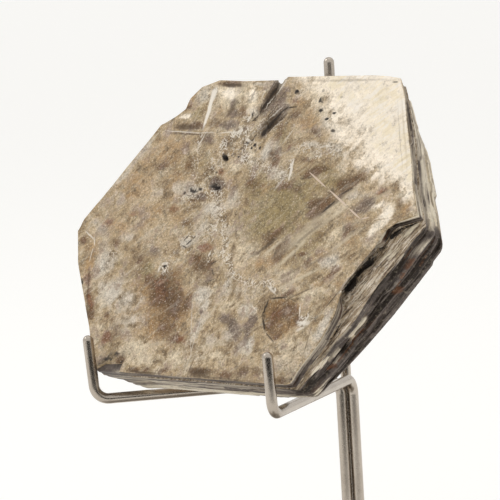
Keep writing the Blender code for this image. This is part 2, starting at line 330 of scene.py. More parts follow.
SCRATCHES = (
    (17.4, 49.3, 4.9, 0.28, -29.1, 0.85), (25.6, 44.8, 5.4, 0.3, -29.1, 0.95),
    (31.8, 41.3, 3.3, 0.26, -29.1, 0.9), (35.4, 40.2, 1.6, 0.26, 14, 0.8),
)
PALE_BANDS = (
    (20, 38.2, 17, 2.6, 41, 0.5), (23, 38.5, 18, 1.5, 38, 0.5), (28, 46, 8, 1, 40, 0.55),
    (22.5, 26, 9.5, 0.8, 26, 0.8), (31.5, 34.5, 9, 1, 40, 0.55), (17.5, 32, 8.5, 1.1, 48, 0.85),
    (10, 32.4, 4.6, 0.8, 40, 0.75), (39, 46.5, 5, 1, 35, 0.5), (1, 8.5, 9, 1.2, 12, 0.45),
    (-2, 17, 7, 1, 60, 0.4), (9, 18, 6, 1.2, 80, 0.35), (13, 7, 8, 0.8, -30, 0.4),
    (28.4, 17, 1, 7, -22, 0.4), (-47.5, 51.4, 8, 0.9, 57, 0.8), (-40.6, 60.4, 4, 0.5, 52, 0.8),
    (39.6, 60.6, 14.5, 0.5, -64.5, 0.7), (-40, 20, 7, 0.8, 70, 0.4), (-17, 8, 8, 0.8, 10, 0.4),
    (-20.4, 69.4, 4, 1, 86, 0.5), (-28.8, 66, 5, 0.5, 82, 0.4), (-4.4, 71.2, 5.5, 0.8, 66, 0.5),
)
DARK_BANDS = (
    (25, 44.2, 8, 0.9, 38, 0.6), (8.6, 33.4, 5.4, 0.9, 40, 0.75), (25.5, 30, 8, 0.6, 34, 0.4),
    (19, 27.2, 7, 0.7, 30, 0.4), (20, 36.2, 7, 0.7, 40, 0.45), (32, 31, 5, 0.7, 36, 0.35),
    (-3, 3, 4.5, 0.35, 86, 0.5), (-29.5, 61.1, 8.5, 0.3, -1, 0.6), (33.5, 21, 4.5, 0.3, 55, 0.7),
    (29.8, 11, 5.5, 0.3, 92, 0.55), (-2.5, 36, 4, 0.6, -60, 0.3), (-20, 73.8, 6, 0.8, -2, 0.9),
    (23, 22, 8, 0.35, 27, 0.6), (2, 30.6, 4, 0.5, 52, 0.4), (14, 39, 6, 0.6, 45, 0.4),
    (17.5, 74.5, 20, 0.5, -0.6, 0.35), (38.4, 60.2, 14, 0.25, -64.5, 0.3), (-31.2, 63.1, 5.6, 1.3, -2, 0.7),
    (-17.5, 0.9, 9, 0.5, -1, 0.8), (7.5, 0.9, 14, 0.45, -1, 0.6), (-43.5, 15, 6, 0.6, -63, 0.6),
    (0.4, 1.8, 5.4, 1.7, -2, 0.7), (-17.8, 67.6, 5, 1.1, 66, 0.6), (-5.8, 71, 7, 2.6, 68, 0.85),
    (-3.4, 64.2, 7, 2.8, 48, 0.85), (-46.6, 22, 7, 0.5, -66, 0.6), (-12, 71.4, 3, 0.5, 74, 0.5),
)
# Dark lines in the open cracks: dark gaps between the sheets, deepened with painted shade.
CRACK_LINES = (
    (-5, 74.2, 2.6, 0.5, 70, 1), (-6.2, 71.6, 2.4, 0.35, 66, 1), (-7.5, 68.8, 2.6, 0.45, 62, 1),
    (-8.6, 67.4, 1.8, 0.25, 84, 0.8), (-9.8, 65.2, 1.6, 0.3, 52, 0.8), (-6.9, 73, 2.6, 0.2, 74, 0.7),
    (-0.4, 67, 2.2, 0.3, 34, 0.9), (-2.2, 65.2, 2.6, 0.4, 46, 1), (-3.8, 63.2, 2.2, 0.6, 52, 1),
    (-4.9, 61.4, 1.9, 0.7, 60, 1), (1.6, 67.6, 1.8, 0.22, 10, 0.9), (-2.4, 71, 3, 0.2, 60, 0.6),
    (-4.2, 66.6, 3.2, 0.22, 56, 0.7), (-7.6, 60, 1.8, 0.3, 45, 0.8), (-10.5, 57, 1.5, 0.25, 50, 0.7),
    (-9.2, 58.6, 1, 0.3, 20, 0.8), (-12.4, 55.6, 1.2, 0.25, 40, 0.6), (-20.6, 46, 1.6, 0.3, 20, 0.6),
    (-18.8, 34.2, 1.3, 0.3, 62, 0.9), (-17.4, 33.2, 1.5, 0.3, 38, 0.9), (-18.4, 32, 1.3, 0.25, -20, 0.8),
    (-16.2, 34.4, 1, 0.25, 50, 0.8), (13.7, 18.1, 2.6, 0.28, 86, 0.9), (14.8, 14.2, 2.4, 0.3, -57, 0.9),
    (18, 11.1, 2.9, 0.22, -32, 0.7), (16.8, 20.5, 3.6, 0.25, 5, 0.9), (21.4, 20.2, 2, 0.2, -16, 0.6),
    (23.4, 42.9, 3.2, 0.4, 46, 0.8), (27.4, 46.7, 2.6, 0.35, 30, 0.7), (-7, 28.4, 1.6, 0.25, 30, 0.7),
    (-6.4, 26, 1.4, 0.25, -50, 0.6), (-6, 24, 1.6, 0.25, 20, 0.6), (3.4, 38, 2.4, 0.25, 56, 0.4),
    (33, 20.8, 4.2, 0.25, 62, 0.7), (-36.8, 65, 2, 0.3, 62, 0.6), (-1, 64.8, 3, 0.2, 44, 0.6),
)
# Dark dots over the pits, painted shade in them.
DARK_DOTS = (
    (1.5, 71.7, 0.9, 0.6, 0, 1), (9.9, 69.3, 0.5, 0.9, 0, 0.9), (11, 66.7, 0.7, 0.6, 0, 1),
    (15.5, 66, 0.6, 0.35, 0, 0.9), (14, 64.5, 0.9, 0.5, 10, 1), (17, 61.6, 0.9, 0.55, 0, 0.9),
    (10, 71.7, 0.6, 0.6, 0, 0.5), (16.4, 70, 0.6, 0.5, 0, 0.4), (-15, 55, 1, 0.9, 0, 1),
    (-10.3, 55, 0.5, 0.35, 0, 0.9), (-6.3, 58, 0.7, 0.5, 40, 1), (-7, 57.2, 0.5, 0.4, 0, 1),
    (-4.3, 57.3, 0.5, 0.6, 0, 0.9), (-8.8, 58.4, 0.6, 0.4, 30, 0.8), (-16, 51, 0.5, 0.4, 0, 0.7),
    (-14.6, 47.2, 1.6, 0.8, -8, 0.9), (-24.2, 45.6, 0.6, 0.5, 0, 0.8), (-22.6, 46.6, 0.5, 0.9, 15, 0.8),
    (-21, 46.2, 0.4, 0.8, -10, 0.8), (-19.6, 46.7, 0.9, 0.5, 0, 0.9), (-49.3, 22, 0.9, 0.6, -50, 0.9),
    (12.4, 49.6, 0.9, 0.4, 0, 0.5), (31.5, 73.5, 1.2, 0.3, 0, 0.7), (-22.8, 26.9, 0.6, 0.4, 0, 0.8),
)


def ruled(material, colour, places, speck, lines, tint, full=0.28):
    """Draw thin lines with tapered ends and ragged sides; a higher full makes softer ones."""
    for u, v, length, width, angle, strength in lines:
        turned = node(material, "Mapping", {"vector_type": "TEXTURE"}, {
            "Vector": places, "Location": (u, v, 0.0), "Rotation": (0.0, 0.0, math.radians(angle)),
            "Scale": (length, width, LINE_DEPTH)})
        line = node(material, "TexGradient", {"gradient_type": "SPHERICAL"}, {"Vector": turned}, "Fac")
        ragged = node(material, "Math", {"operation": "MULTIPLY"}, {0: line, 1: speck})
        colour = glaze(material, colour, [(ragged, 0.03, full, strength, tint)])
    return colour


def cleavage_face(settings):
    """Muscovite on its cleavage: a pearly satin sheen over tan and silver mottling. The sheen is partly real
    gloss and partly a painted sheen, laid into the colour over the upper right corner.
    """
    material, shader = new_material("mica_cleavage_face")
    places = crystal_places(material)
    cloud, mottle, speck, dust, fibre = grains(material, places, (
        ((13.0, 13.0, 13.0), 0.0, 3.0, 0.55), ((5.5, 5.5, 5.5), 0.0, 5.0, 0.66),
        ((1.4, 1.4, 1.4), 0.0, 3.0, 0.6),
        ((0.45, 0.45, 0.45), 0.0, 2.0, 0.6), ((9.0, 1.5, 3.0), -38.0, 4.0, 0.65)))
    bent, shaken = (
        node(material, "TexNoise", {}, {"Vector": places, "Scale": scale, "Detail": 3.0}, "Color")
        for scale in (0.25, 1.1))
    wavy = node(material, "VectorMath", {"operation": "MULTIPLY_ADD"}, {0: bent, 1: (1.4,) * 3, 2: places})
    wavy = node(material, "VectorMath", {"operation": "SUBTRACT"}, {0: wavy, 1: (0.7,) * 3})
    crumpled = node(material, "VectorMath", {"operation": "MULTIPLY_ADD"}, {
        0: shaken, 1: (1.6,) * 3, 2: wavy})
    flakes, chips = (node(material, "TexVoronoi", {}, {"Vector": crumpled, "Scale": scale}, "Color")
                     for scale in (0.45, 1.3))
    web, lace = (node(material, "TexNoise", {"noise_type": "RIDGED_MULTIFRACTAL"}, {
        "Vector": places, "Scale": scale, "Detail": detail, "Roughness": 0.7, "Lacunarity": 2.1,
        "Offset": 0.8, "Gain": 1.8, "Distortion": 0.8}) for scale, detail in ((0.62, 6.0), (0.9, 2.0)))
    lace = node(material, "MapRange", {}, {"Value": lace, "From Min": 0.3, "From Max": 1.2})
    swayed = node(material, "VectorMath", {"operation": "MULTIPLY_ADD"}, {0: bent, 1: (0.6,) * 3, 2: places})
    edge = mottle
    for pattern, share in ((flakes, 0.3), (speck, 0.4)):
        edge = node(material, "Math", {"operation": "MULTIPLY_ADD"}, {0: pattern, 1: share, 2: edge})
    edge = node(material, "Math", {"operation": "SUBTRACT"}, {0: edge, 1: 0.35})
    colour = glaze(material, (*settings.mica_colour, 1.0), [
        (cloud, 0.36, 0.64, 1.0, "#A58F6E"), (mottle, 0.48, 0.64, 0.85, "#D0C0A6"),
        (mottle, 0.5, 0.34, 0.85, "#755F43")])
    for name, tint, strength in (
            ("olive", "#86754C", 0.85), ("honey", "#9D7C52", 0.85), ("silver", "#C7BEB0", 0.85),
            ("cream", "#D3C3A8", 0.85), ("umber", settings.stain_colour, 0.9), ("rust", "#71401E", 0.8),
            ("lilac", "#68574C", 0.85)):
        stain = frayed(material, name, edge, 1.6)
        colour = glaze(material, colour, [(stain, 0.0, 0.75, strength, tint)])
    # Pale cleavage and painted sheen: the pearly corner's highlight is painted into the colour.
    pale_and_painted_sheen = frayed(material, "pale_and_painted_sheen", edge, 1.2)
    colour = glaze(material, colour, [(pale_and_painted_sheen, 0.1, 1.0, 0.97, settings.painted_sheen_colour)])
    tone = node(material, "Math", {"operation": "MULTIPLY_ADD"}, {0: flakes, 1: 0.4, 2: -0.69})
    for pattern, share in ((chips, 0.52), (speck, 1.1), (dust, 1.58)):
        tone = node(material, "Math", {"operation": "MULTIPLY_ADD"}, {0: pattern, 1: share, 2: tone})
    colour = node(material, "VectorMath", {"operation": "SCALE"}, {0: colour, "Scale": tone})
    chalk, gaps = frayed(material, "chalk", lace, 1.1), frayed(material, "chalk", lace, -1.1)
    # Painted sheen: warm and milky painted highlights inside the pearly corner.
    painted_warm_sheen, painted_milky_sheen = (node(material, "Math", {"operation": "MULTIPLY"}, {0: pale_and_painted_sheen, 1: pattern})
                  for pattern in (cloud, fibre))
    # Painted shade: near black in the cracks and pits.
    painted_shade = frayed(material, "painted_shade", speck, 1.6)
    colour = glaze(material, colour, [
        (dust, 0.58, 0.72, 0.42, "#EFE6D6"), (speck, 0.42, 0.28, 0.3, "#4B371F"),
        (web, 0.9, 2.0, 0.28, "#E6DCC8"), (pale_and_painted_sheen, 0.3, 1.1, 0.6, "#F6EAD8"),
        (painted_warm_sheen, 0.46, 0.62, 0.55, "#EAD9B2"), (painted_milky_sheen, 0.46, 0.66, 0.6, "#FAF3EC"),
        (fibre, 0.52, 0.7, 0.2, "#F0E5D0"),
        (fibre, 0.46, 0.28, 0.2, "#7D6440"), (gaps, 0.72, 1.15, 0.45, "#4A3B29"),
        (chalk, 0.42, 0.95, 0.8, "#E9E0D2"), (painted_shade, 0.2, 0.85, 0.93, "#1F1813")])
    for where, lines, tint, full in (
            (swayed, PALE_BANDS, "#D2C3A8", 0.5), (swayed, DARK_BANDS, "#4C3B28", 0.4),
            (swayed, PALE_LINES, "#F1E8DA", 0.28), (places, SCRATCHES, "#D9C4B0", 0.2),
            (places, CRACK_LINES, "#352A20", 0.28), (places, DARK_DOTS, "#241D17", 0.28)):
        colour = ruled(material, colour, where, speck, lines, tint, full)
    height = mottle
    for pattern, share in ((speck, 0.4), (chips, 0.3), (web, 0.25)):
        height = node(material, "Math", {"operation": "MULTIPLY_ADD"}, {0: pattern, 1: share, 2: height})
    gloss = frayed(material, "pale_and_painted_sheen", mottle, 1.0)
    wire(material, shader, {
        "Base Color": colour, "IOR": 1.58, "Specular IOR Level": 0.22,
        "Roughness": node(material, "MapRange", {}, {
            "Value": gloss, "From Min": -0.2, "From Max": 0.9, "To Min": 0.55, "To Max": 0.3}),
        "Normal": node(material, "Bump", {}, {"Height": height, "Strength": 0.8, "Distance": 0.2 * MM})})
    return material


def split_edge(settings):
    """The ends of hundreds of sheets: dull, dirty between the sheets, and pale where they are fresh. The
    sides that face away from the light and the undercut below the torn edge are darkened with painted shade.
    """
    material, shader = new_material("mica_split_edge")
    places = crystal_places(material)
    sheets, packs, stain, speck = grains(material, places, (
        ((7.0, 7.0, 0.22), 0.0, 5.0, 0.65), ((14.0, 14.0, 0.8), 0.0, 4.0, 0.6),
        ((8.0, 8.0, 1.0), 0.0, 3.0, 0.5), ((0.7, 0.7, 0.7), 0.0, 5.0, 0.7)))
    tone, dirt_and_painted_shade = (node(material, "Attribute", {"attribute_name": name}, {}, "Fac")
                     for name in ("tone", "dirt_and_painted_shade"))
    amber = frayed(material, "amber", speck, 1.2)
    paleness = packs
    # Paleness falls with dirt and with the painted shade of the sides that face away from the light.
    for pattern, share in ((sheets, 0.8), (tone, 0.5), (dirt_and_painted_shade, -0.62)):
        paleness = node(material, "Math", {"operation": "MULTIPLY_ADD"}, {0: pattern, 1: share, 2: paleness})
    colour = glaze(material, (*settings.edge_colour, 1.0), [
        (paleness, 0.3, 0.75, 1.0, "#6A605A"), (paleness, 0.75, 1.0, 1.0, "#ACA090"),
        (paleness, 1.0, 1.3, 1.0, "#E6DBC6"), (stain, 0.6, 0.75, 0.4, "#6E4424"),
        (amber, 0.3, 0.9, 0.65, "#75492A"), (speck, 0.5, 0.8, 0.4, "#D2C5AC"),
        (speck, 0.5, 0.2, 0.6, "#1E1813")])
    height = node(material, "Math", {"operation": "ADD"}, {0: sheets, 1: speck})
    wire(material, shader, {
        "Base Color": colour, "Roughness": 0.6, "IOR": 1.58, "Specular IOR Level": 0.25,
        "Normal": node(material, "Bump", {}, {"Height": height, "Strength": 0.7, "Distance": 0.15 * MM})})
    return material


def torn_shelf():
    """A lower sheet laid bare where the top ones tore off: flaky, satin and unevenly stained, with painted
    shadow in the hollows under the torn edge.
    """
    material, shader = new_material("mica_torn_shelf")
    places = crystal_places(material)
    flakes, splinters, mottle, speck = grains(material, places, (
        ((6.0, 0.8, 1.5), -58.0, 4.0, 0.6), ((3.5, 0.3, 1.0), -55.0, 3.0, 0.6),
        ((2.4, 2.4, 1.0), 0.0, 4.0, 0.6),
        ((0.6, 0.6, 0.6), 0.0, 3.0, 0.6)))
    # Painted shadow under the torn edge, and pale flakes.
    painted_shade, pale_and_painted_sheen = frayed(material, "painted_shade", speck, 1.6), frayed(material, "pale_and_painted_sheen", flakes, 1.6)
    colour = glaze(material, linear("#AB967A"), [
        (flakes, 0.51, 0.62, 0.9, "#DDCFBA"), (flakes, 0.48, 0.37, 0.85, "#5A4736"),
        (mottle, 0.5, 0.75, 0.5, "#CBB9A0"), (mottle, 0.5, 0.25, 0.5, "#7A5E46"),
        (splinters, 0.54, 0.66, 0.85, "#F0E4D6"), (splinters, 0.46, 0.34, 0.9, "#392B22"),
        (speck, 0.5, 0.75, 0.4, "#EBE0CA"), (speck, 0.5, 0.25, 0.4, "#3A2E22"),
        (pale_and_painted_sheen, 0.2, 0.8, 0.85, "#E6DAC2"), (painted_shade, 0.35, 0.8, 0.95, "#120E0B")])
    height = node(material, "Math", {"operation": "MULTIPLY_ADD"}, {0: flakes, 1: 2.0, 2: speck})
    height = node(material, "Math", {"operation": "ADD"}, {0: height, 1: splinters})
    wire(material, shader, {
        "Base Color": colour, "Roughness": 0.42, "IOR": 1.58, "Specular IOR Level": 0.3,
        "Normal": node(material, "Bump", {}, {"Height": height, "Strength": 0.9, "Distance": 0.3 * MM})})
    return material


# ---------------------------------------------------------------- crystal

FACE_RINGS, SHELF_RINGS, BACK_RINGS = 66, 11, 8
RIM_SHARE = 0.996                   # the face's last ring, as a share of its rim
CREASE = 0.015                      # drop between one lamina and the next, in millimetres
SHEET_DEPTH, SHELF_DEPTH, BOOK_DEPTH = 0.5, 2.9, 10.7
# Stains and films on the face, with painted sheen and painted shade in masks of their own: centre u and v,
# half length, half width (mm), turn (degrees), strength.
PATCHES = {
    # pale cleavage, and a painted sheen over the pearly corner
    "pale_and_painted_sheen": (
        (-20.5, 71.5, 3.5, 1.8, 0, 0.75), (-12.5, 70.5, 2.2, 2.6, 0, 0.85), (-33, 65.8, 2.4, 0.9, 0, 0.8),
        (-11.5, 67, 2, 1.2, 0, 0.5), (41, 41.2, 2.4, 3.2, -30, 1), (39, 38.2, 1.4, 2.4, -25, 0.9),
        (46, 46.5, 1, 1.4, 0, 0.8), (38, 43.6, 2.5, 0.9, 20, 0.6), (34.5, 51, 3, 1.5, 30, 0.5),
    ),
    "silver": (
        (-5.2, 12, 1.8, 6, -20, 0.55), (-2.6, 6, 3, 3, 0, 0.4), (-0.1, 23, 2.5, 3, 0, 0.6),
        (5.5, 10.5, 2.5, 3, 0, 0.45), (-6.3, 36.2, 3, 2.4, 0, 0.5), (-43.5, 27, 4, 4, 0, 0.8),
        (-38, 20, 5, 3.6, 0, 0.8), (-32, 18, 5, 4, 0, 0.7), (-28, 12.5, 4.5, 2.6, 0, 0.6),
        (-50, 36.6, 3.5, 1.2, -20, 0.6), (-38, 33.8, 3.5, 1.4, 0, 0.5), (-17.8, 33.2, 2.8, 1.8, 0, 0.9),
        (-7, 20.5, 2.6, 2.8, 0, 0.8), (-5.4, 18, 1.6, 2.4, 0, 0.7), (8.5, 17, 3.6, 1.6, 0, 0.8),
        (12.5, 8.5, 2.2, 2.8, 0, 0.8), (0, 9, 5, 1.4, 0, 0.4), (29, 29.5, 3.2, 1.4, 15, 0.7),
        (-28, 71, 2.6, 2.2, 0, 0.7), (-11.5, 73.8, 4, 0.7, 0, 0.6), (-43, 57.5, 6, 1, 57, 0.6),
        (-47.5, 50, 6, 1.2, 57, 0.5), (-26.5, 47, 4, 2, 0, 0.5), (-33, 46.5, 3.5, 2, 0, 0.4),
        (-46, 44, 3, 2.4, 0, 0.4), (-22, 46.3, 2.8, 1.5, 0, 0.8), (-4, 53.5, 2, 1.2, 0, 0.6),
        (-1.5, 56, 1.8, 3.2, 0, 0.9), (2, 56.8, 2.6, 2.6, 0, 0.6), (4.5, 51.5, 3.2, 3, 0, 0.6),
        (12, 58, 4.5, 0.9, 0, 0.6), (19, 57, 4.5, 1.4, -20, 0.6), (15, 63.4, 3.6, 1.8, -35, 0.6),
        (18.5, 61, 2.2, 1.6, 0, 0.6), (30, 45.4, 3.5, 1.2, 20, 0.5), (-10, 66.5, 1.2, 1.2, 0, 0.7),
        (-13, 41.5, 3, 3.5, 0, 0.6), (33, 14, 1.8, 5.5, -12, 0.7), (31, 7, 1.2, 4, 0, 0.5),
        (5, 21.5, 6, 2, 0, 0.35), (-15, 37, 3, 3, 0, 0.45), (32, 3, 2, 2, 0, 0.4), (24, 6, 4, 3, 0, 0.3),
        (-7, 44, 3, 2.5, 0, 0.4),
    ),
    "cream": (
        (8.5, 70.5, 4, 3, 0, 0.7), (11, 66.5, 3, 2.2, 0, 0.5), (-37, 45, 7, 5, 50, 0.25),
        (-20, 71, 8, 3, 0, 0.9), (-12, 69.5, 3, 3.4, 0, 0.9), (-20, 70.5, 9, 4, 0, 0.7),
        (-25, 66.5, 3, 2, 0, 0.4), (-23, 6, 6.5, 3, 0, 0.75), (-17.5, 3.6, 7, 1.8, 0, 0.65),
        (-10, 4.2, 3, 2.6, 0, 0.6), (-37, 11.2, 2.4, 1.2, 0, 0.6), (-40, 17, 2, 2.5, 0, 0.4),
        (2, 18.3, 4.5, 1.6, 0, 0.55), (3, 6, 6, 1.4, 0, 0.5), (18, 25.6, 3.5, 2, 0, 0.5),
        (26.5, 22, 4.5, 2.4, 0, 0.55), (26, 9, 4.5, 3.5, 0, 0.5), (0, 31, 4, 4.5, 0, 0.5),
        (28, 36, 5, 3, 30, 0.45), (-6.5, 55.6, 2, 1.5, 0, 0.8), (27, 42.2, 3, 1, 35, 0.6),
        (36, 68, 1.4, 5, 30, 0.7), (40.5, 58, 1.2, 5, 28, 0.7), (6, 61, 1.5, 2.5, 20, 0.3),
        (-38.5, 45, 3, 2.5, 0, 0.3), (-25, 57, 2.5, 2, 0, 0.4), (-18, 52.5, 2, 1.5, 0, 0.5),
        (-10.5, 52.5, 2, 2, 0, 0.5),
    ),
    "olive": (
        (9, 42.5, 14, 10, 15, 0.8), (22, 34, 10, 6, 35, 0.4), (-1, 47, 6, 5, 0, 0.6),
        (-28, 26.5, 3, 2.6, 0, 0.7), (-34, 24, 1.6, 1.1, 0, 0.6), (-38.6, 27, 1.9, 0.9, 0, 0.6),
        (-28.5, 67, 2.6, 3.2, 0, 0.6), (18.5, 52, 5, 1.8, 0, 0.7), (22, 48.5, 6, 3, 20, 0.6),
        (2, 60.5, 2.2, 3, 0, 0.6), (-30, 54, 8, 5, 0, 0.3), (-21, 54, 3, 3, 0, 0.35),
    ),
    "honey": (
        (-34, 55.5, 8, 5, 25, 0.65), (-41, 46.5, 7.5, 5.5, 0, 0.6), (-29, 49, 6, 3.6, 20, 0.5),
        (-33, 41, 8, 4, 0, 0.45), (-49, 28, 1.9, 4.5, 12, 0.8), (-51, 32, 3, 2, 0, 0.5),
        (-43.5, 36.5, 5, 2, 0, 0.5), (-35.5, 36.8, 2.4, 1, 0, 0.7), (-33, 33, 4, 2, 0, 0.35),
        (-22, 16.8, 6, 3.6, -10, 0.8), (-18, 13, 7.5, 4.2, 0, 0.9), (-12, 15.5, 2.2, 5, 10, 0.7),
        (-27, 19.5, 4, 4, -30, 0.8), (-20, 16.5, 13, 9, -20, 0.8), (-18.5, 9.3, 3, 1.2, 0, 0.5),
        (-29, 9.5, 2.5, 1.5, 0, 0.4), (22.8, 17, 2, 3, 0, 0.8), (20.5, 12.2, 3.2, 2, 0, 0.7),
        (7.6, 28.2, 1.8, 1.3, 0, 0.7), (11, 29.4, 2.4, 1.6, 45, 0.7), (26, 31.2, 3.5, 1.3, 10, 0.6),
        (27.5, 24.6, 2.2, 1.1, 20, 0.6), (33.2, 24, 1.8, 1.6, 0, 0.6), (-32.6, 70, 3.2, 1.2, 68, 0.7),
        (-22.5, 67.6, 2.2, 3, 0, 0.6), (-10, 70, 1, 2.4, 0, 0.7), (-35, 57, 5, 3.6, 0, 0.6),
        (-41, 52.5, 3, 2.6, 0, 0.4), (5.2, 69.6, 4.6, 1.6, 0, 0.6), (8.2, 67, 2.2, 3, 0, 0.5),
        (8, 63.6, 5.5, 2.8, 0, 0.6), (2, 47, 2.4, 1.4, 0, 0.6), (-10, 48.6, 2.6, 2, 0, 0.5),
        (41.2, 47.6, 2.2, 1.1, 0, 0.7), (46.8, 42.6, 1.5, 2.3, 0, 0.9), (31, 40, 3.5, 1.1, 0, 0.6),
        (15, 39.6, 1.6, 2.4, 0, 0.4), (22.5, 44, 3, 1.6, 40, 0.6), (27, 60, 2.5, 1.2, 0, 0.3),
        (-27.5, 44.8, 3.5, 1.6, 0, 0.45), (-14, 57, 2.2, 2.2, 0, 0.5), (33, 35, 3, 2, 30, 0.5),
        (-24, 39.5, 3, 2, 0, 0.35),
    ),
    "umber": (
        (-38, 52.5, 3.4, 1.6, 40, 0.2), (-31, 51.5, 3, 1.8, 20, 0.25), (-46, 40, 3, 1.6, 20, 0.15),
        (0.3, 55.5, 2.2, 1.6, 20, 0.6), (-2.8, 69.5, 6.5, 1.5, 65, 0.3), (3.5, 57.5, 4, 2, 20, 0.45),
        (32, 37.3, 3, 2, 30, 0.55), (-30.6, 26.2, 4, 2, 0, 0.35), (-11.6, 17.5, 2.2, 4.5, -20, 0.6),
        (-28, 57.6, 3.4, 1.4, 10, 0.25), (-29.4, 41.8, 3, 1.3, 15, 0.35), (-20.4, 20, 9, 5, -38, 0.95),
        (-11, 28.2, 5, 3, -15, 0.75), (-2.4, 48.2, 4, 1.8, -20, 0.6), (26.8, 48.4, 5.6, 2.2, 30, 0.9),
        (21.2, 43.4, 4.6, 1.9, 35, 0.85), (16.6, 51.8, 4.6, 1.3, 12, 0.8), (20.4, 40.6, 2.2, 0.9, 30, 0.8),
        (-23, 22.6, 4.4, 4, -20, 1), (-17, 15, 4, 5, 0, 0.6), (-18, 14, 5, 3.6, 0, 0.45),
        (-14, 16.5, 2.2, 3.5, 0, 0.7), (-16, 19.5, 4, 2.6, -40, 0.9), (-27, 23.5, 3.4, 1.6, -30, 0.5),
        (-16, 12.4, 6, 3, -10, 0.6), (-11.5, 9.2, 4, 1.8, 0, 0.55), (-32.5, 28.4, 3.5, 1.9, 0, 0.5),
        (-12.4, 29.6, 2.6, 1.8, 0, 0.75), (-42.5, 32.6, 2.4, 1.4, 0, 0.5), (-54, 33, 1.7, 1.2, 0, 0.7),
        (-36.6, 14, 1.7, 0.9, -20, 0.7), (-34.4, 13, 1.2, 1.2, 0, 0.5), (-32, 8.6, 3, 2, 0, 0.5),
        (-42.6, 14.6, 2.8, 1.3, -58, 1), (-45.6, 19, 2, 0.9, -58, 0.7), (-26.8, 3.2, 2, 1.5, 25, 0.8),
        (-21.5, 1, 2.6, 0.8, 0, 0.9), (-17.4, 1.2, 1.6, 0.8, 0, 0.7), (-12, 1.2, 1.8, 0.8, 0, 0.6),
        (0.4, 2, 4.2, 1.05, 0, 1), (8.2, 1.8, 3, 1, 0, 0.7), (12.6, 2.4, 2.6, 1.6, 0, 0.65),
        (16.8, 2.8, 2.2, 1.3, 0, 0.5), (26, 1.2, 2.2, 0.9, 0, 0.9), (-4.4, 7.6, 1.7, 1, -30, 0.6),
        (16.6, 16.6, 2.4, 3.6, 0, 0.75), (17.8, 19.4, 3.4, 1, 0, 0.6), (8.8, 34.6, 3.6, 1.6, 36, 0.95),
        (5.2, 31, 1.7, 0.9, 55, 0.8), (13, 31.6, 3.2, 2.1, 50, 0.95), (20.2, 31.2, 1.9, 0.6, 10, 0.8),
        (16, 32.6, 0.9, 1.4, 0, 0.6), (22.4, 29.4, 2.4, 1.2, -40, 0.4), (17.6, 37, 2.4, 1.4, 30, 0.5),
        (10.5, 36.6, 2.4, 1, 30, 0.5), (19.4, 21.4, 3, 0.7, 22, 0.7), (-33, 67.8, 1.6, 0.7, 20, 0.7),
        (-33, 63.3, 2, 1, 0, 0.6), (-28.4, 63.2, 3, 1.1, 0, 0.95), (-22.2, 63.6, 2, 1.6, 0, 0.7),
        (-14.4, 66.6, 1.5, 2.2, 0, 0.75), (-21.2, 74, 4.6, 0.6, 2, 1), (-35.5, 52, 3.8, 1.8, 0, 0.6),
        (-32, 55.2, 2.6, 1.2, 0, 0.45), (-26, 53, 2.6, 2, 0, 0.55), (-28, 50.6, 2.2, 0.9, 0, 0.45),
        (-15, 59.2, 2.6, 1.8, 0, 0.6), (-21.4, 58.8, 0.9, 1.2, 0, 0.8), (-15.4, 49.2, 2.6, 0.9, 0, 0.9),
        (-20, 43.7, 4.5, 0.5, 3, 0.7), (-20.4, 38, 2.2, 1.2, 0, 0.6), (3, 65.4, 2.6, 2, 20, 0.8),
        (0.6, 62, 2, 2.8, 0, 0.6), (12.2, 61, 3, 2, 0, 0.55), (2.4, 54.4, 1.8, 1.6, 0, 0.7),
        (12, 54, 3.4, 1.1, -10, 0.6), (13.6, 50.3, 3.2, 0.9, -10, 0.8), (7, 47.6, 3.4, 1.5, 0, 0.6),
        (11.4, 47, 2.2, 1.2, 0, 0.65), (25.4, 49.2, 3.4, 2, 20, 0.8), (28, 47.8, 3.6, 1.2, 38, 1),
        (31.4, 49.4, 2, 1, 0, 0.6), (18.8, 43.2, 2, 1.6, 0, 0.8), (21.6, 38.4, 1.8, 1.6, 0, 0.6),
        (22.2, 42, 3.4, 0.6, 47, 1), (44.2, 43.8, 1.5, 2.2, 0, 0.5), (35.6, 39.4, 2, 1, 0, 0.5),
        (24, 35.6, 3, 0.8, 36, 0.5), (30, 26.6, 3.5, 0.5, 30, 0.7), (31.6, 20, 0.7, 4, -30, 0.5),
        (-8, 28.2, 3, 0.6, 18, 0.8), (-9, 27, 3, 0.5, 20, 0.6),
    ),
    "rust": (
        (-21.4, 21.6, 4.6, 2.6, -35, 0.5), (-44.6, 18.2, 3.6, 1.1, -58, 0.8), (-48, 23, 2.6, 1.4, -50, 0.6),
        (-34.4, 8.6, 1.2, 2.2, 0, 0.8), (-11.3, 32, 2.2, 1.3, 0, 1), (-9.4, 9, 1.8, 1.1, 0, 0.6),
        (17, 17, 1.4, 2.2, 0, 0.3), (-14.6, 51.2, 1.4, 1.1, 0, 0.9), (-26.5, 41.4, 3.2, 1.3, 0, 0.45),
        (38, 46.8, 2.2, 1.1, 0, 0.9), (2, 69.2, 1.8, 0.9, 0, 0.5), (22.4, 74, 2.6, 0.6, 0, 0.5),
        (-40, 39.5, 3, 1, 0, 0.35), (-47.5, 37.5, 2.5, 1, 0, 0.45),
    ),
    "lilac": (
        (-3.2, 67.6, 6.4, 1.7, 58, 0.6), (-4.9, 61.5, 2.2, 1.3, 50, 0.85), (-15.2, 18, 3.8, 2.2, -45, 0.4),
        (-27.2, 30.2, 3.2, 1.8, 0, 0.55), (-32, 11, 3, 1.4, 0, 0.5), (2.6, 14.6, 2.6, 1.2, -12, 1),
        (5.4, 13.2, 3.4, 1.5, -42, 1.1), (8, 11, 2, 1.8, -60, 0.9), (10.8, 14.2, 2.4, 1.4, 55, 1.3),
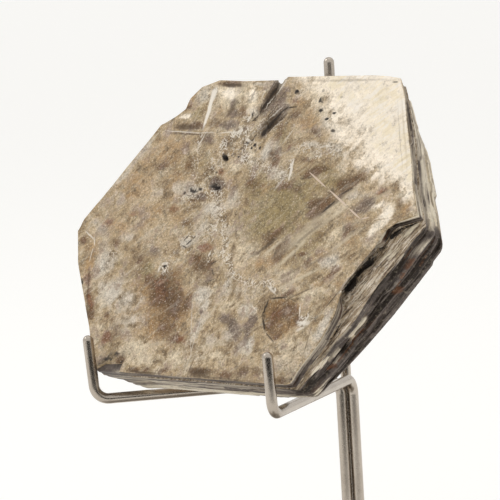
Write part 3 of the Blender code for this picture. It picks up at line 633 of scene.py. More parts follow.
        (11, 11.8, 1.4, 3, 20, 0.8), (9.6, 8, 1.4, 2.8, 0, 0.4), (-5.6, 16, 0.7, 0.6, 0, 0.9),
        (-7.5, 24, 2.4, 2.2, 0, 0.6), (-8.4, 11, 2.2, 0.8, 0, 0.5), (-18.3, 68.6, 1.2, 2.2, 0, 0.7),
        (-17, 66.2, 2.2, 1.3, 0, 0.8), (-17.6, 63.4, 3.4, 1.2, 0, 0.7), (-30, 61.1, 7, 0.5, 0, 0.6),
        (-22.4, 59.6, 2.8, 1.7, 0, 0.8), (-18.4, 44.6, 2.2, 0.9, 0, 1), (-15, 47.7, 3.2, 1.6, -5, 1.4),
        (-9.8, 56.3, 1.4, 0.6, 40, 0.8), (-17, 42.4, 2, 0.8, 0, 0.4), (-6.4, 71.6, 5, 1.5, 70, 1.3),
        (-4.6, 69, 2.6, 4.2, -22, 0.9), (-2.8, 64.6, 5, 1.6, 46, 1.3), (-8.4, 67.2, 1.6, 1.2, 0, 0.8),
        (25.4, 45.4, 1.3, 0.7, 40, 1), (34.6, 44.2, 2.2, 1.5, 10, 1), (33.4, 42.4, 3.2, 1.8, 0, 0.7),
        (12.6, 2, 2.4, 1.6, 0, 0.5), (16, 34, 1.6, 1.2, 0, 0.4), (-8, 47, 2, 1.2, 0, 0.5),
        (-6, 26.5, 3, 1.6, 0, 0.4),
    ),
    # painted shade in the cracks, the pits and along the lower edge
    "painted_shade": (
        (-20.8, 21, 5, 3, -38, 0.36), (14, 17, 1, 2.6, 0, 0.3), (-5.6, 71.4, 4, 1.6, 70, 0.4),
        (-6.2, 71.8, 4.6, 1.2, 72, 0.55), (-3.4, 63.4, 3.4, 1.3, 50, 0.5), (-29.6, 4, 3.8, 1.8, 22, 0.6),
        (-32.6, 2.6, 2.6, 1.3, 20, 0.75), (-27, 5, 2.4, 1.2, 10, 0.45), (-26.6, 2.8, 1.2, 0.9, 20, 0.7),
        (-49.4, 22, 1.4, 0.5, -55, 0.8), (-15, 54.9, 0.9, 0.75, 0, 1.4), (-14.8, 47.3, 2.8, 1, -5, 0.8),
        (-24.4, 45.6, 0.6, 0.5, 0, 0.8), (-22.6, 46.6, 0.5, 0.8, 0, 0.9), (-21.2, 46.2, 0.4, 0.8, 10, 0.8),
        (-19.7, 46.6, 0.8, 0.6, 0, 0.9), (-6.7, 57.3, 0.5, 0.4, 0, 1), (-5.9, 58, 0.5, 0.4, 0, 1),
        (-4.1, 57.3, 0.5, 0.6, 0, 0.9), (-10.6, 66.4, 0.4, 1.4, 0, 0.8), (-9.4, 64.9, 1, 0.5, -30, 0.8),
        (1.5, 71.6, 0.9, 0.6, 0, 1.1), (10.2, 69.3, 0.6, 0.9, 0, 0.9), (11.2, 66.7, 0.8, 0.7, 0, 1),
        (15.6, 66, 0.6, 0.4, 0, 0.9), (13.8, 64.3, 0.9, 0.5, 0, 1), (17, 61.6, 0.9, 0.5, 0, 1),
        (-22.8, 26.9, 0.5, 0.4, 0, 0.8), (-18.2, 33.4, 1.4, 0.3, 20, 0.5), (-17.4, 32, 1.4, 0.3, -20, 0.5),
        (29.2, 1.6, 1.4, 2, 0, 0.8), (30.4, 4.6, 0.9, 3, -15, 0.6), (2, 0.4, 26, 0.5, 0, 0.4),
    ),
}
# Masks painted on the torn shelf, the same way: pale flakes, and painted shadow in the hollows under the
# torn sheets above.
SHELF_PATCHES = {
    "pale_and_painted_sheen": (
        (47.2, 38.9, 1.2, 3.2, -35, 1), (43.2, 32.6, 3, 1.3, 35, 0.75), (34.6, 10.5, 0.8, 7.5, -30, 0.8),
        (40, 22, 0.6, 6, -25, 0.5),
    ),
    "painted_shade": (
        (34.2, 25.8, 2.1, 2.8, -20, 1.4), (37, 29.9, 1.3, 4.5, -38, 1.1), (40.6, 35, 1, 2.4, -35, 1),
        (43.2, 37.8, 1, 2.6, -50, 1.2), (46.8, 40.6, 3, 0.9, 25, 1.2), (34.4, 15.5, 0.5, 5, -12, 0.9),
        (41.5, 30, 2.2, 0.9, 30, 0.6),
    ),
}
# The pearly corner, pale and with a painted sheen, lies on the left of this path.
PAINTED_SHEEN_EDGE = (
    (-4, 75.6), (3, 73.4), (9, 70.4), (12, 66.4), (15, 62.4), (20, 58.6), (25, 55.8), (31, 53), (37, 49.2),
    (42, 47), (50, 45),
)
# Splintered white places on the face.
CHALK = (
    (-22.8, 26.8, 1.8, 1.5, 0, 1), (-21.2, 25.4, 2, 0.6, -25, 0.8), (-42.6, 29.6, 2.6, 1.1, 20, 0.6),
    (-8.8, 30.5, 1, 0.9, 0, 1.2), (-8.6, 29, 0.8, 0.8, 0, 0.9), (-10.6, 37.4, 1.2, 0.8, 0, 1.2),
    (-13, 36, 1, 2.2, 0, 0.7), (-4.8, 32.6, 0.7, 3.2, 5, 0.75), (-5.2, 35.6, 0.6, 1.6, 0, 0.7),
    (-2.4, 29.6, 2, 0.6, -55, 0.6), (-0.6, 27.6, 2, 0.6, -55, 0.6), (2.6, 25.6, 2.6, 0.6, -10, 0.5),
    (13, 23.4, 1.1, 0.4, -30, 0.9), (15.4, 22.2, 2.1, 0.6, -28, 1.1), (26.9, 16, 2.4, 1.1, 5, 1.2),
    (26.3, 14.7, 1.6, 0.8, -10, 1.2), (24.6, 15.2, 1, 0.4, -10, 1), (34.9, 22.6, 0.6, 0.5, 0, 1.3),
    (-13, 61, 3.6, 1.6, 20, 1.2), (-16.5, 58, 1.6, 2.6, 0, 1), (-9, 58.5, 1.4, 2.6, -20, 1.1),
    (-8, 54.6, 2, 1.5, 0, 1), (-11.5, 64.8, 1.2, 2, -20, 0.9), (-25.4, 72, 1.2, 1.6, 0, 1),
    (-8.6, 59.4, 1.6, 1.3, 0, 0.9), (-10.6, 61, 1.2, 0.8, 0, 0.7), (-10, 41.2, 2, 1.4, 0, 0.7),
    (-16.8, 54.6, 0.8, 1, 0, 0.6), (-21.4, 45, 3, 0.5, 0, 0.8), (-14.4, 45.9, 2.4, 0.5, 0, 0.8),
    (-12, 47.8, 0.6, 1.6, 0, 0.7), (7.6, 52.8, 2.4, 0.6, 105, 1.2), (5.6, 49.6, 1.2, 0.6, 60, 0.9),
    (15, 55.2, 1.1, 0.4, -10, 1.2), (18.5, 57.4, 2.4, 0.5, -20, 0.7), (33.2, 58.4, 1.2, 1, 0, 0.6),
    (-24.2, 55, 0.8, 2.6, 15, 0.6), (-22.8, 51.6, 0.8, 2, 20, 0.6), (-20.2, 56.2, 1.8, 0.6, 10, 0.7),
    (-13.8, 63.6, 1.6, 0.6, -20, 0.7), (-12, 62.4, 1.8, 0.5, 20, 0.6), (-17.4, 34.6, 2.4, 0.5, 0, 0.8),
    (-19.8, 32, 0.5, 1.8, 20, 0.7), (-16, 31, 1.4, 0.5, 30, 0.7), (31, 28.9, 1, 0.8, 0, 0.8),
    (46.2, 46.6, 0.6, 0.8, 0, 0.8), (26, 2, 1.8, 0.4, 0, 0.7), (12.4, 8.4, 1, 1.6, 0, 0.5),
    (-31.2, 53, 0.3, 0.9, 15, 1), (-37, 61.8, 1.4, 0.4, -40, 0.7), (1.4, 64, 0.4, 3, -30, 0.5),
    (3.8, 61, 0.4, 3, -15, 0.5), (0.2, 51.6, 1.4, 1, 0, 0.6), (3, 70.4, 0.5, 1.6, -30, 0.6),
)
# Crumbled paths over the face: corners in millimetres, half width (mm), strength.
MAIN_VEIN = (
    (-3, 64.5), (-7.6, 61.8), (-11, 59.1), (-15, 55.3), (-18.8, 50.1), (-20.9, 45.5), (-18.7, 32.6),
    (-22.1, 26.7),
)
VEINS = (
    (MAIN_VEIN, 2.6, 0.25), (MAIN_VEIN[:6], 3.4, 0.4),
    (((-9, 58), (-5, 53), (1, 52), (6, 50)), 2.6, 0.4),
    (((-14, 48), (-10, 40.5), (-6.4, 35.8), (-5, 33), (-5.3, 31), (-3.5, 29.7),
      (-2, 28), (-0.5, 26.5), (1, 25.2), (4, 25), (8, 24.2), (14, 23.4)), 1.1, 0.65),
    (((8, 57.5), (15, 56.5), (22, 57)), 1.6, 0.45),
    (((-12, 47), (-12.5, 40), (-11, 35)), 2.6, 0.45),
    (((-13, 64.5), (-10, 60), (-6, 55.5), (-3, 51.5)), 2.2, 0.45),
    (((-25, 60), (-24, 54), (-22, 48)), 1.4, 0.45),
    (((-26, 44.8), (-19, 44.6), (-13, 46)), 1.2, 0.5),
)
# Open cracks: path, half width, depth.
CRACKS = (
    (((-4.1, 76.4), (-5.6, 71.0), (-7.2, 67.6), (-9.9, 64.7)), 1.0, 0.8),
    (((3.5, 67.3), (0.0, 65.5), (-2.9, 63.3), (-5.7, 59.4)), 1.0, 0.6),
)
# Edges of single sheets on the face: path, and how far the face drops on the path's left, or, below
# zero, on its right.
SHEET_EDGES = (
    (((36.5, 24.5), (34.9, 22.6), (31.4, 18.2), (29.3, 14.8), (30.0, 11.6), (30.5, 8.9), (28.8, 4.8),
      (26.8, 0.0)), -0.38),
    (((-41.0, 64.0), (-37.7, 63.0), (-33.9, 61.8), (-25.1, 61.5), (-13.3, 61.8)), 0.25),
    (((-11.1, 21.9), (-8.0, 14.0), (-5.0, 6.5), (-3.3, 0.0)), -0.14),
    (((-54.1, 35.5), (-49.4, 33.2), (-47.0, 28.0), (-46.0, 20.0)), -0.2),
)
# Pits: centre u and v, radius, depth.
PITS = (
    (-14.8, 54.7, 0.7, 0.9), (-14.3, 47.5, 0.9, 0.9), (2.1, 71.5, 0.6, 0.6), (10.9, 68.9, 0.6, 0.6),
    (17.6, 61.5, 0.6, 0.5), (-8, 59.6, 0.7, 0.6), (16.2, 65.7, 0.5, 0.5),
)
# The hollow where a flake is missing.
RECESS_CORNERS = (
    (13.9, 20.1), (13.6, 16), (15.9, 12.4), (20.2, 9.7), (22.2, 12), (25, 14.2), (24.7, 16.8), (22.9, 19.8),
    (19.7, 20.7),
)
RECESS_TINT = {"honey": 0.9, "umber": 0.45}
DEGREE_LENGTH = 0.75                # about the millimetres of outline in one degree round MIDDLE
# Streaks on the sides: degrees round MIDDLE and place across the sheets (mm) at both ends, half width
# (mm), strength.
SIDE_STREAKS = {
    "tone": (
        (-24.5, -5.7, -29.6, -5.75, 0.7, 1.5), (-30, -6.5, -32.6, -6.3, 0.4, 1.1),
        (-35, -5.4, -37.4, -5.4, 0.4, 1), (-39, -4.3, -44.2, -3.2, 0.5, 1.1),
        (-20.6, -4.8, -23.4, -5, 0.2, 0.9), (0.8, -6, -2, -6.2, 0.3, 0.9),
        (-43.2, -8.3, -48.5, -8.6, 0.3, 1), (-36.9, -7, -39, -7.1, 0.4, 0.8),
        (-48, -9.3, -125, -9.8, 0.9, 0.9), (8.9, -4.3, 3.9, -5.8, 0.5, 0.5),
        (11.4, -7.2, 6.1, -7.7, 0.4, 0.9), (30, -6, 14, -5, 0.4, 0.5), (-7.5, -3.2, -4.4, -3, 0.25, 0.9),
        (-28, -3.1, -42.9, -3.1, 0.25, 0.9), (-12, -4.9, -20, -5, 0.2, 0.4),
    ),
    # dark streaks of dirt and painted shade; below zero, pale chips
    "dirt_and_painted_shade": (
        (-24.3, -5.66, -29.9, -5.8, 0.75, -0.95), (-30.5, -6.5, -33, -6.4, 0.5, -0.6),
        (-35.5, -6.2, -38, -6.4, 0.5, -0.7), (-39, -4.3, -44.2, -3.2, 0.5, -0.7),
        (-31.8, -6.9, -37.9, -6.5, 0.7, 0.6), (-46.2, -4.2, -51.5, -4.8, 0.9, 0.6),
        (-10.2, -3.2, -15.2, -3.2, 0.2, 0.7), (-2.6, -4.2, -9.3, -4.3, 0.6, 0.3),
        (22, -3, 10, -4, 0.4, 0.6), (40, -2, 30, -2.6, 0.3, 0.5), (44, -3.6, 6, -4.4, 0.7, 0.5),
        (44, -6.6, 30, -6.2, 0.4, 0.5), (22, -7.4, 12, -6.6, 0.3, 0.8),
    ),
    "amber": (
        (-4.3, -5.8, -6.6, -5.85, 0.35, 1), (-8.4, -5.8, -13.5, -7.3, 0.3, 0.9),
        (-12.2, -8, -13.4, -7.6, 0.7, 0.9), (-26.5, -7.3, -38.2, -7.35, 0.2, 0.8),
        (-39.4, -7.3, -41.7, -6.6, 0.45, 0.9), (-2, -7.6, -5, -7.9, 0.25, 0.6),
    ),
}


def mica_tree():
    """The crystal's solid as a search tree in its own frame."""
    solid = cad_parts["mica_crystal"].data
    flat = LEANED.inverted()
    corners = [flat @ vertex.co for vertex in solid.vertices]
    return BVHTree.FromPolygons(corners, [face.vertices[:] for face in solid.polygons])


def reach(tree, angles, depth):
    """Distance in millimetres from MIDDLE to the solid's side at one depth, in every direction."""
    far = 80.0 * MM                 # a start well outside the crystal
    distances = []
    for angle in angles:
        out = Vector((math.cos(angle), math.sin(angle), 0.0))
        hit = tree.ray_cast(Vector((*MIDDLE, -depth * MM)) + out * far, -out)
        distances.append((far - hit[3]) / MM)
    return np.array(distances)


def even_angles(tree, count):
    """Directions whose points lie evenly spaced along the outline half way down the sides."""
    fine = np.linspace(-math.pi, math.pi, 4000, endpoint=False)
    distance = reach(tree, fine, BOOK_DEPTH / 2)
    u, v = distance * np.cos(fine), distance * np.sin(fine)
    steps = np.hypot(np.diff(u, append=u[0]), np.diff(v, append=v[0]))
    along = np.concatenate(([0.0], np.cumsum(steps)))
    return np.interp(np.linspace(0.0, along[-1], count, endpoint=False), along, np.append(fine, math.pi))


def ellipse(u, v, patch):
    """How much a soft ellipse covers points: 1 at its centre, 0 outside."""
    centre_u, centre_v, wide, high, turn, strength = patch
    turn = math.radians(turn)
    along = (u - centre_u) * math.cos(turn) + (v - centre_v) * math.sin(turn)
    across = (v - centre_v) * math.cos(turn) - (u - centre_u) * math.sin(turn)
    return strength * np.clip(1.3 - np.hypot(along / wide, across / high), 0.0, 1.0)


def from_path(u, v, path):
    """Distance in millimetres from points to the nearest part of a path, below zero on its right."""
    best, side = np.full(len(u), 1e9), np.zeros(len(u))
    for (u0, v0), (u1, v1) in zip(path, path[1:]):
        length = (u1 - u0) ** 2 + (v1 - v0) ** 2
        share = np.clip(((u - u0) * (u1 - u0) + (v - v0) * (v1 - v0)) / length, 0.0, 1.0)
        gap = np.hypot(u - u0 - share * (u1 - u0), v - v0 - share * (v1 - v0))
        turn = np.sign((u1 - u0) * (v - v0) - (v1 - v0) * (u - u0))
        side = np.where(gap < best, turn, side)
        best = np.minimum(best, gap)
    return best * side


def inside(u, v, corners):
    """Distance inside a convex outline, in millimetres, negative outside."""
    best = np.full(len(u), 1e9)
    for (u0, v0), (u1, v1) in zip(corners, corners[1:] + corners[:1]):
        length = math.hypot(u1 - u0, v1 - v0)
        best = np.minimum(best, ((u1 - u0) * (v - v0) - (v1 - v0) * (u - u0)) / length)
    return best


def rough(u, v, size, seed, octaves=4):
    """Noise from -1 to 1 at points, with blotches about that many millimetres across."""
    return np.array([
        noise.fractal(Vector((x / size, y / size, seed)), 0.9, 2.1, octaves) for x, y in zip(u, v)])


def store(mesh, name, values):
    attribute = mesh.attributes.new(name, "FLOAT", "POINT")
    attribute.data.foreach_set("value", np.asarray(values, np.float32))


def paint(mesh, u, v, kind):
    """Store every mask of the face and the shelf as an attribute of the mesh's points."""
    face, shelf, back = kind == "face", kind == "shelf", kind == "back"
    drift_u, drift_v = 2.6 * rough(u, v, 7.0, 31.0), 2.6 * rough(u, v, 7.0, 47.0)
    for name, patches in PATCHES.items():
        value = np.zeros(len(u))
        for patch in patches:
            loose = min(1.0, min(patch[2], patch[3]) / 5.0)
            value = np.maximum(value, face * ellipse(u + loose * drift_u, v + loose * drift_v, patch))
        # The painted sheen grows towards the upper right corner, past the edge path.
        if name == "pale_and_painted_sheen":
            past = from_path(u + drift_u, v + drift_v, PAINTED_SHEEN_EDGE)
            value = np.maximum(value, face * np.clip(0.4 + past / 11.0, 0.0, 1.0))
        if name in RECESS_TINT:
            within = np.clip(inside(u, v, RECESS_CORNERS) / 0.5, 0.0, 1.0)
            value = np.maximum(value, face * RECESS_TINT[name] * within)
        for patch in SHELF_PATCHES.get(name, ()):
            value = np.maximum(value, shelf * ellipse(u, v, patch))
        # The back gets random stains, but no painted shade or painted sheen.
        if name not in ("painted_shade", "pale_and_painted_sheen"):
            value += back * np.clip(1.3 * rough(u, v, 9.0, 60.0 + len(patches)) - 0.25, 0.0, 0.8)
        store(mesh, name, value)
    chalk = np.zeros(len(u))
    for patch in CHALK:
        chalk = np.maximum(chalk, ellipse(u, v, patch))
    for path, width, strength in VEINS:
        gap = abs(from_path(u + 0.5 * drift_u, v + 0.5 * drift_v, path))
        chalk = np.maximum(chalk, strength * np.clip(1.4 - gap / width, 0.0, 1.0))
    store(mesh, "chalk", chalk * face)


def paint_sides(mesh, degrees, w, kind, tone):
    """Store how pale, how dirty and shaded, and how rusty the sides are; the shade is painted."""
    values = {"tone": tone, "dirt_and_painted_shade": side_dirt_and_shade(degrees, w), "amber": np.zeros(len(w))}
    for name, streaks in SIDE_STREAKS.items():
        for first, first_w, last, last_w, width, strength in streaks:
            path = ((first * DEGREE_LENGTH, first_w), (last * DEGREE_LENGTH, last_w))
            gap = abs(from_path(degrees * DEGREE_LENGTH, w, path))
            values[name] = values[name] + strength * np.clip(1.5 - gap / width, 0.0, 1.0)
        store(mesh, name, np.where(kind == "side", values[name], 0.0))


def side_dirt_and_shade(degrees, w):
    """From below 0 on pale fresh sides to above 1 on dark ones, by direction and depth: dirt, and painted
    shade on the sides that face down and away from the light and in the undercut below the torn edge.
    """
    below = np.interp(degrees, (-180, -140, -128, -60, -50, 2, 6, 45, 60, 120, 150, 180),
                      (0.5, 0.5, 0.45, 0.45, 1.0, 1.0, -0.1, -0.05, 0.4, 0.5, 0.5, 0.5))
    above = np.interp(
        degrees, (-180, -140, -128, -60, -50, -38, -28, -21, -19, -5, -4, -2, -1, 4.5, 5.5, 45, 180),
        (0.4, 0.4, 0.8, 0.8, 0.65, 0.55, 0.45, 0.2, 1.8, 1.8, 0.3, 0.3, 1.3, 1.3, 0.2, 0.2, 0.4))
    lip = np.interp(degrees, (-128, -60, -50, 5, 45), (0.5, 0.5, 0.1, 0.0, 0.2))
    lip_depth = np.where(degrees > -2, -1.2, -SHEET_DEPTH)
    return np.where(w < -SHELF_DEPTH, below, np.where(w < lip_depth, above, lip))


def face_relief(u, v, seed):
    """Height of the cleavage face in millimetres over its own plane."""
    height = 0.16 * rough(u, v, 22.0, seed) + 0.05 * rough(u, v, 5.0, seed + 9.0)
    grit = rough(u, v, 1.1, seed + 17.0, 3)
    vein = np.clip(1.3 - abs(from_path(u, v, MAIN_VEIN)) / 3.2, 0.0, 1.0)
    height += vein * (0.28 * grit - 0.12) + 0.02 * grit
    for path, drop in SHEET_EDGES:
        step = np.sign(drop) * from_path(u, v, path)
        near = np.clip(2.0 - abs(step) / 5.0, 0.0, 1.0)
        height -= abs(drop) * np.clip(step / 0.3, 0.0, 1.0) * near
    height -= 0.5 * np.clip(inside(u, v, RECESS_CORNERS) / 0.45, 0.0, 1.0)
    for path, width, depth in CRACKS:
        height -= depth * np.clip(1.15 - abs(from_path(u, v, path)) / width + 0.25 * grit, 0.0, 1.0)
    for pit_u, pit_v, radius, depth in PITS:
        height -= depth * np.clip(1.3 - np.hypot(u - pit_u, v - pit_v) / radius, 0.0, 1.0)
    return np.minimum(height, 0.25)


def shelf_relief(u, v, seed):
    """Height of the torn shelf: broken flakes lying nearly level, in steps."""
    turn = math.radians(52.0)
    along, across = u * math.cos(turn) + v * math.sin(turn), v * math.cos(turn) - u * math.sin(turn)
    flakes = rough(along / 4.0, across, 1.6, seed, 3)
    return 0.14 * np.round(flakes * 6.0) + 0.08 * rough(u, v, 1.0, seed + 4.0, 3)


def broken_back(count, chance, share):
    """Steps back along one sheet's edge, 0 to 1, and a tone for each stretch."""
    insets, tones = [], []
    while len(insets) < count:
        run = chance.randint(3, 34)
        inset = 0.0 if chance.random() < share else chance.random() ** 1.8
        insets += [inset] * run
        tones += [chance.random()] * run
    return np.array(insets[:count]), np.array(tones[:count])


def lamina_depths(count, chance):
    """Where the sheets part, from the face to the back, unevenly thick, with a part at the shelf."""
    above = max(3, round(count * SHELF_DEPTH / BOOK_DEPTH))
    depths = [0.0]
    packs = ((above, 0.0, SHELF_DEPTH), (count - above, SHELF_DEPTH, BOOK_DEPTH - CREASE))
    for sheets, low, high in packs:
        thick = np.cumsum([0.5 + chance.random() ** 1.5 * 1.3 for _ in range(sheets)])
        depths += list(low + thick / thick[-1] * (high - low))
    return depths, above


def side_limit(angles):
    """How ragged each side may be, by direction from MIDDLE: the lower right is torn the most."""
    return np.interp(np.degrees(angles), (-180, -135, -128, -55, -48, 4, 10, 44, 50, 130, 140, 180),
                     (0.7, 0.7, 0.45, 0.45, 1.0, 1.0, 1.1, 1.1, 0.5, 0.5, 0.7, 0.7))


def swell(angles, depth):
    """How far the grown sheets reach past the plain solid, in millimetres, by direction and depth."""
    degrees = np.degrees(angles)
    front = np.interp(degrees, (-180, -168, -145, -134, -126, -119, 50, 56, 68, 112, 120, 134, 150, 180),
                      (0.3, 0.5, 0.5, 0.8, 0.6, 0.0, 0.0, 0.4, 0.4, 0.3, 0.7, 0.8, 0.3, 0.3))
    rear = np.interp(degrees, (32, 40, 49, 56), (0.0, -0.9, -1.2, 0.0))
    return front + rear * min(1.0, depth / 4.0)


def lay_out_rings(tree, angles, settings):
    """Every ring of the book from the face's middle to the back's: distances, depth, tones and kind."""
    chance = random.Random(settings.seed)
    count = len(angles)
    plain = np.full(count, 0.5)
    rim = reach(tree, angles, 0.05) + swell(angles, 0.0)
    shares = (np.arange(1, FACE_RINGS + 1) / FACE_RINGS) ** 0.72
    rings = [(rim * share * RIM_SHARE, 0.0, plain, "face") for share in shares]
    depths, above = lamina_depths(settings.laminae, chance)
    limit = side_limit(angles) * settings.raggedness / MM
    pack, pack_left = np.zeros(count), 0
    for index, (top, bottom) in enumerate(zip(depths, depths[1:])):
        side = reach(tree, angles, (top + bottom) / 2) + swell(angles, top)
        if pack_left == 0:
            pack, pack_left = broken_back(count, chance, 0.5)[0], chance.randint(2, 5)
        pack_left -= 1
        sheet, tone = broken_back(count, chance, 0.35)
        inset = limit * (0.6 * pack + 0.5 * sheet) * min(1.0, 0.15 + index / 6)
        side = side - inset - 0.04 * np.array([chance.random() for _ in range(count)])
        if index == above:
            last = rings[-1][0]
            for step in range(1, SHELF_RINGS + 1):
                share = step / (SHELF_RINGS + 1)
                rings.append((last + (side - last) * share, SHELF_DEPTH, plain, "shelf"))
        rings.append((side, top + (CREASE if index else 0.0), tone, "side"))
        rings.append((side, bottom, tone, "side"))
    rear = rings[-1][0]
    for step in range(BACK_RINGS, 0, -1):
        rings.append((rear * (step / BACK_RINGS) ** 0.8 * RIM_SHARE, BOOK_DEPTH, plain, "back"))
    return rings


class MICA_OT_crystal(bpy.types.Operator):
    """Grow the book of mica from a drum whose rings become its face, its laminae and its back"""
    bl_idname = "mica.crystal"
    bl_label = "Mica crystal"

    def execute(self, context):
        settings = context.scene.mica_crystal
        tree = mica_tree()
        angles = even_angles(tree, settings.around)
        rings = lay_out_rings(tree, angles, settings)
        book = drum("mica_book", settings.around, len(rings))
        which, index = drum_places(book, settings.around, len(rings))
        distances = np.array([ring[0] for ring in rings])
        kind = np.array([ring[3] for ring in rings])[which]
        w = -np.array([ring[1] for ring in rings])[which]
        tone = np.array([ring[2] for ring in rings])[which, index]
        distance = np.where(index < 0, 0.0, distances[which, index])
        u = MIDDLE.x / MM + distance * np.cos(angles[index])
        v = np.maximum(MIDDLE.y / MM + distance * np.sin(angles[index]), LOWEST_FACE_V / MM)
        face, shelf, back = kind == "face", kind == "shelf", kind == "back"
        w[face] += face_relief(u[face], v[face], 1.0)
        w[shelf] += shelf_relief(u[shelf], v[shelf], 3.0) * torn_share(distances, kind, which, index)[shelf]
        w[back] += 0.1 + 0.1 * rough(u[back], v[back], 20.0, 5.0)
        w = np.maximum(w, -BOOK_DEPTH)
        set_places(book.data, u, v, w)
        paint(book.data, u, v, kind)
        paint_sides(book.data, np.degrees(angles[index]), w, kind, tone)
        finish_book(book, kind, settings)
        return {"FINISHED"}


def torn_share(distances, kind, which, index):
    """From 0 where the shelf is only a crease to 1 where it lies wide open, for every point."""
    rows = sorted(set(which[kind == "shelf"]))
    wide = distances[rows[-1]] - distances[rows[0]]
    return np.clip(wide / 2.0, 0.0, 1.0)[index]


def drum(name, around, rings):
    """An upright cylinder with fan ends, cut across so that it has that many rings."""
    piece = begin(
        name, bpy.ops.mesh.primitive_cylinder_add, vertices=around, radius=1.0, depth=rings - 1.0,
        end_fill_type="TRIFAN")
    height = [vertex.co.z for vertex in piece.data.vertices]
    choose(piece, "EDGE", lambda edge: abs(height[edge.vertices[0]] - height[edge.vertices[1]]) > 0.5)
    bpy.ops.mesh.subdivide(number_cuts=rings - 2)
    leave_edit()
    return piece


def drum_places(piece, around, rings):
    """Each vertex's ring, counted from the top, and its place round it, or -1 in the middle of an end."""
    places = np.empty(len(piece.data.vertices) * 3)
    piece.data.vertices.foreach_get("co", places)
    x, y, z = places.reshape(-1, 3).T
    which = np.rint((rings - 1) / 2 - z).astype(int)
    index = np.rint(np.arctan2(y, x) / (2 * math.pi) * around + around / 2).astype(int) % around
    return which, np.where(np.hypot(x, y) < 0.5, -1, index)


def set_places(mesh, u, v, w):
    """Put the points at their millimetres in the crystal's frame, leaned back into the stand."""
    flat = np.column_stack((u, v, w)) * MM
    leaned = flat @ np.array(LEANED.to_3x3()).T + np.array(LEANED.translation)
    mesh.vertices.foreach_set("co", leaned.ravel())
    mesh.update()


def finish_book(book, kind, settings):
    """Materials by ring, shaded, and handed to the frame."""
    for material in (cleavage_face(settings), split_edge(settings), torn_shelf()):
        book.data.materials.append(material)
    code = np.select([kind == "side", kind == "shelf"], [1, 2], 0)
    for face in book.data.polygons:
        corners = [code[corner] for corner in face.vertices]
        face.material_index = 2 if 2 in corners else min(corners)
    round_off(book, 32.0)
    hand_over(book, "mica", "mica_crystal")


# ---------------------------------------------------------------- stand

ROD_SOLIDS = {"left_hook": "left_hook_rod", "right_hook": "right_hook_rod", "back_rest": "back_rod"}


def rod_ends():
    """The foot of each rod's stem and the point of its tip, from the solids' boxes."""
    inset = Vector((ROD_RADIUS, ROD_RADIUS, 0.0))
    ends = {}
    for name, solid in ROD_SOLIDS.items():
        low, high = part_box(solid)
        low, high = low + inset, high - inset
        foot_x, tip_x = (high.x, low.x) if name == "left_hook" else (low.x, high.x)
        ends[name] = Vector((foot_x, high.y, low.z)), Vector((tip_x, low.y, high.z))
    return ends


ARM_Z = 56.0 * MM                   # height of the arms' axes
HOOK_LEANS = {"left_hook": 0.069, "right_hook": 0.105}    # outward, for each metre up
KNEE_Z = ARM_Z + 4.0 * MM           # the back rest starts to lean here
KNEE_BEND = 20.0 * MM
DOME = ((0.3, 0.95), (0.6, 0.8), (0.85, 0.53), (0.97, 0.25))   # share of the radius along and across


def draw_to(last, target):
    """Extrude the open end of the rod in edit mode straight to a place."""
    bpy.ops.mesh.extrude_edges_move(TRANSFORM_OT_translate={"value": target - last})
    return target


def bend_rod(start, towards, away, radius, steps):
    """Spin that open end from one direction to the other. Returns where it ends."""
    turn = towards.angle(away)
    axis = towards.cross(away).normalized()
    centre = start + axis.cross(towards).normalized() * radius
    bpy.ops.mesh.spin(steps=steps, angle=-turn, center=centre, axis=axis)
    return centre + Matrix.Rotation(turn, 3, axis) @ (start - centre)


def make_rod(name, corners, radii, settings, material, nodes):
    """A rod along straight runs and bends: a circle extruded and spun, then domed and closed."""
    piece = begin(
        name, bpy.ops.mesh.primitive_circle_add, vertices=settings.rod_sides, radius=ROD_RADIUS,
        fill_type="NOTHING", location=corners[0])
    apply_place(piece)
    choose(piece, "EDGE", lambda edge: True)
    place = corners[0]
    for before, corner, after, radius in zip(corners, corners[1:], corners[2:], radii):
        towards, away = (corner - before).normalized(), (after - corner).normalized()
        short = radius * math.tan(towards.angle(away) / 2)
        place = draw_to(place, corner - towards * short)
        place = bend_rod(place, towards, away, radius, settings.bend_steps)
    along = (corners[-1] - corners[-2]).normalized()
    place = draw_to(place, corners[-1] - along * ROD_RADIUS)
    shoulder, width = place, 1.0
    for rise, share in DOME:
        place = draw_to(place, shoulder + along * ROD_RADIUS * rise)
        bpy.ops.transform.resize(value=(share / width,) * 3, center_override=place)
        width = share
    bpy.ops.mesh.extrude_edges_move(TRANSFORM_OT_translate={"value": along * ROD_RADIUS * 0.03})
    bpy.ops.mesh.merge(type="CENTER")
    bpy.ops.mesh.select_all(action="DESELECT")
    leave_edit()
    choose(piece, "VERT", lambda vertex: vertex.co.z < corners[0].z + ALMOST)
    bpy.ops.mesh.edge_face_add()
    leave_edit()
    close_up(piece)
    round_off(piece)
    piece.data.materials.append(material)
    hand_over(piece, "rod_steel", *nodes)


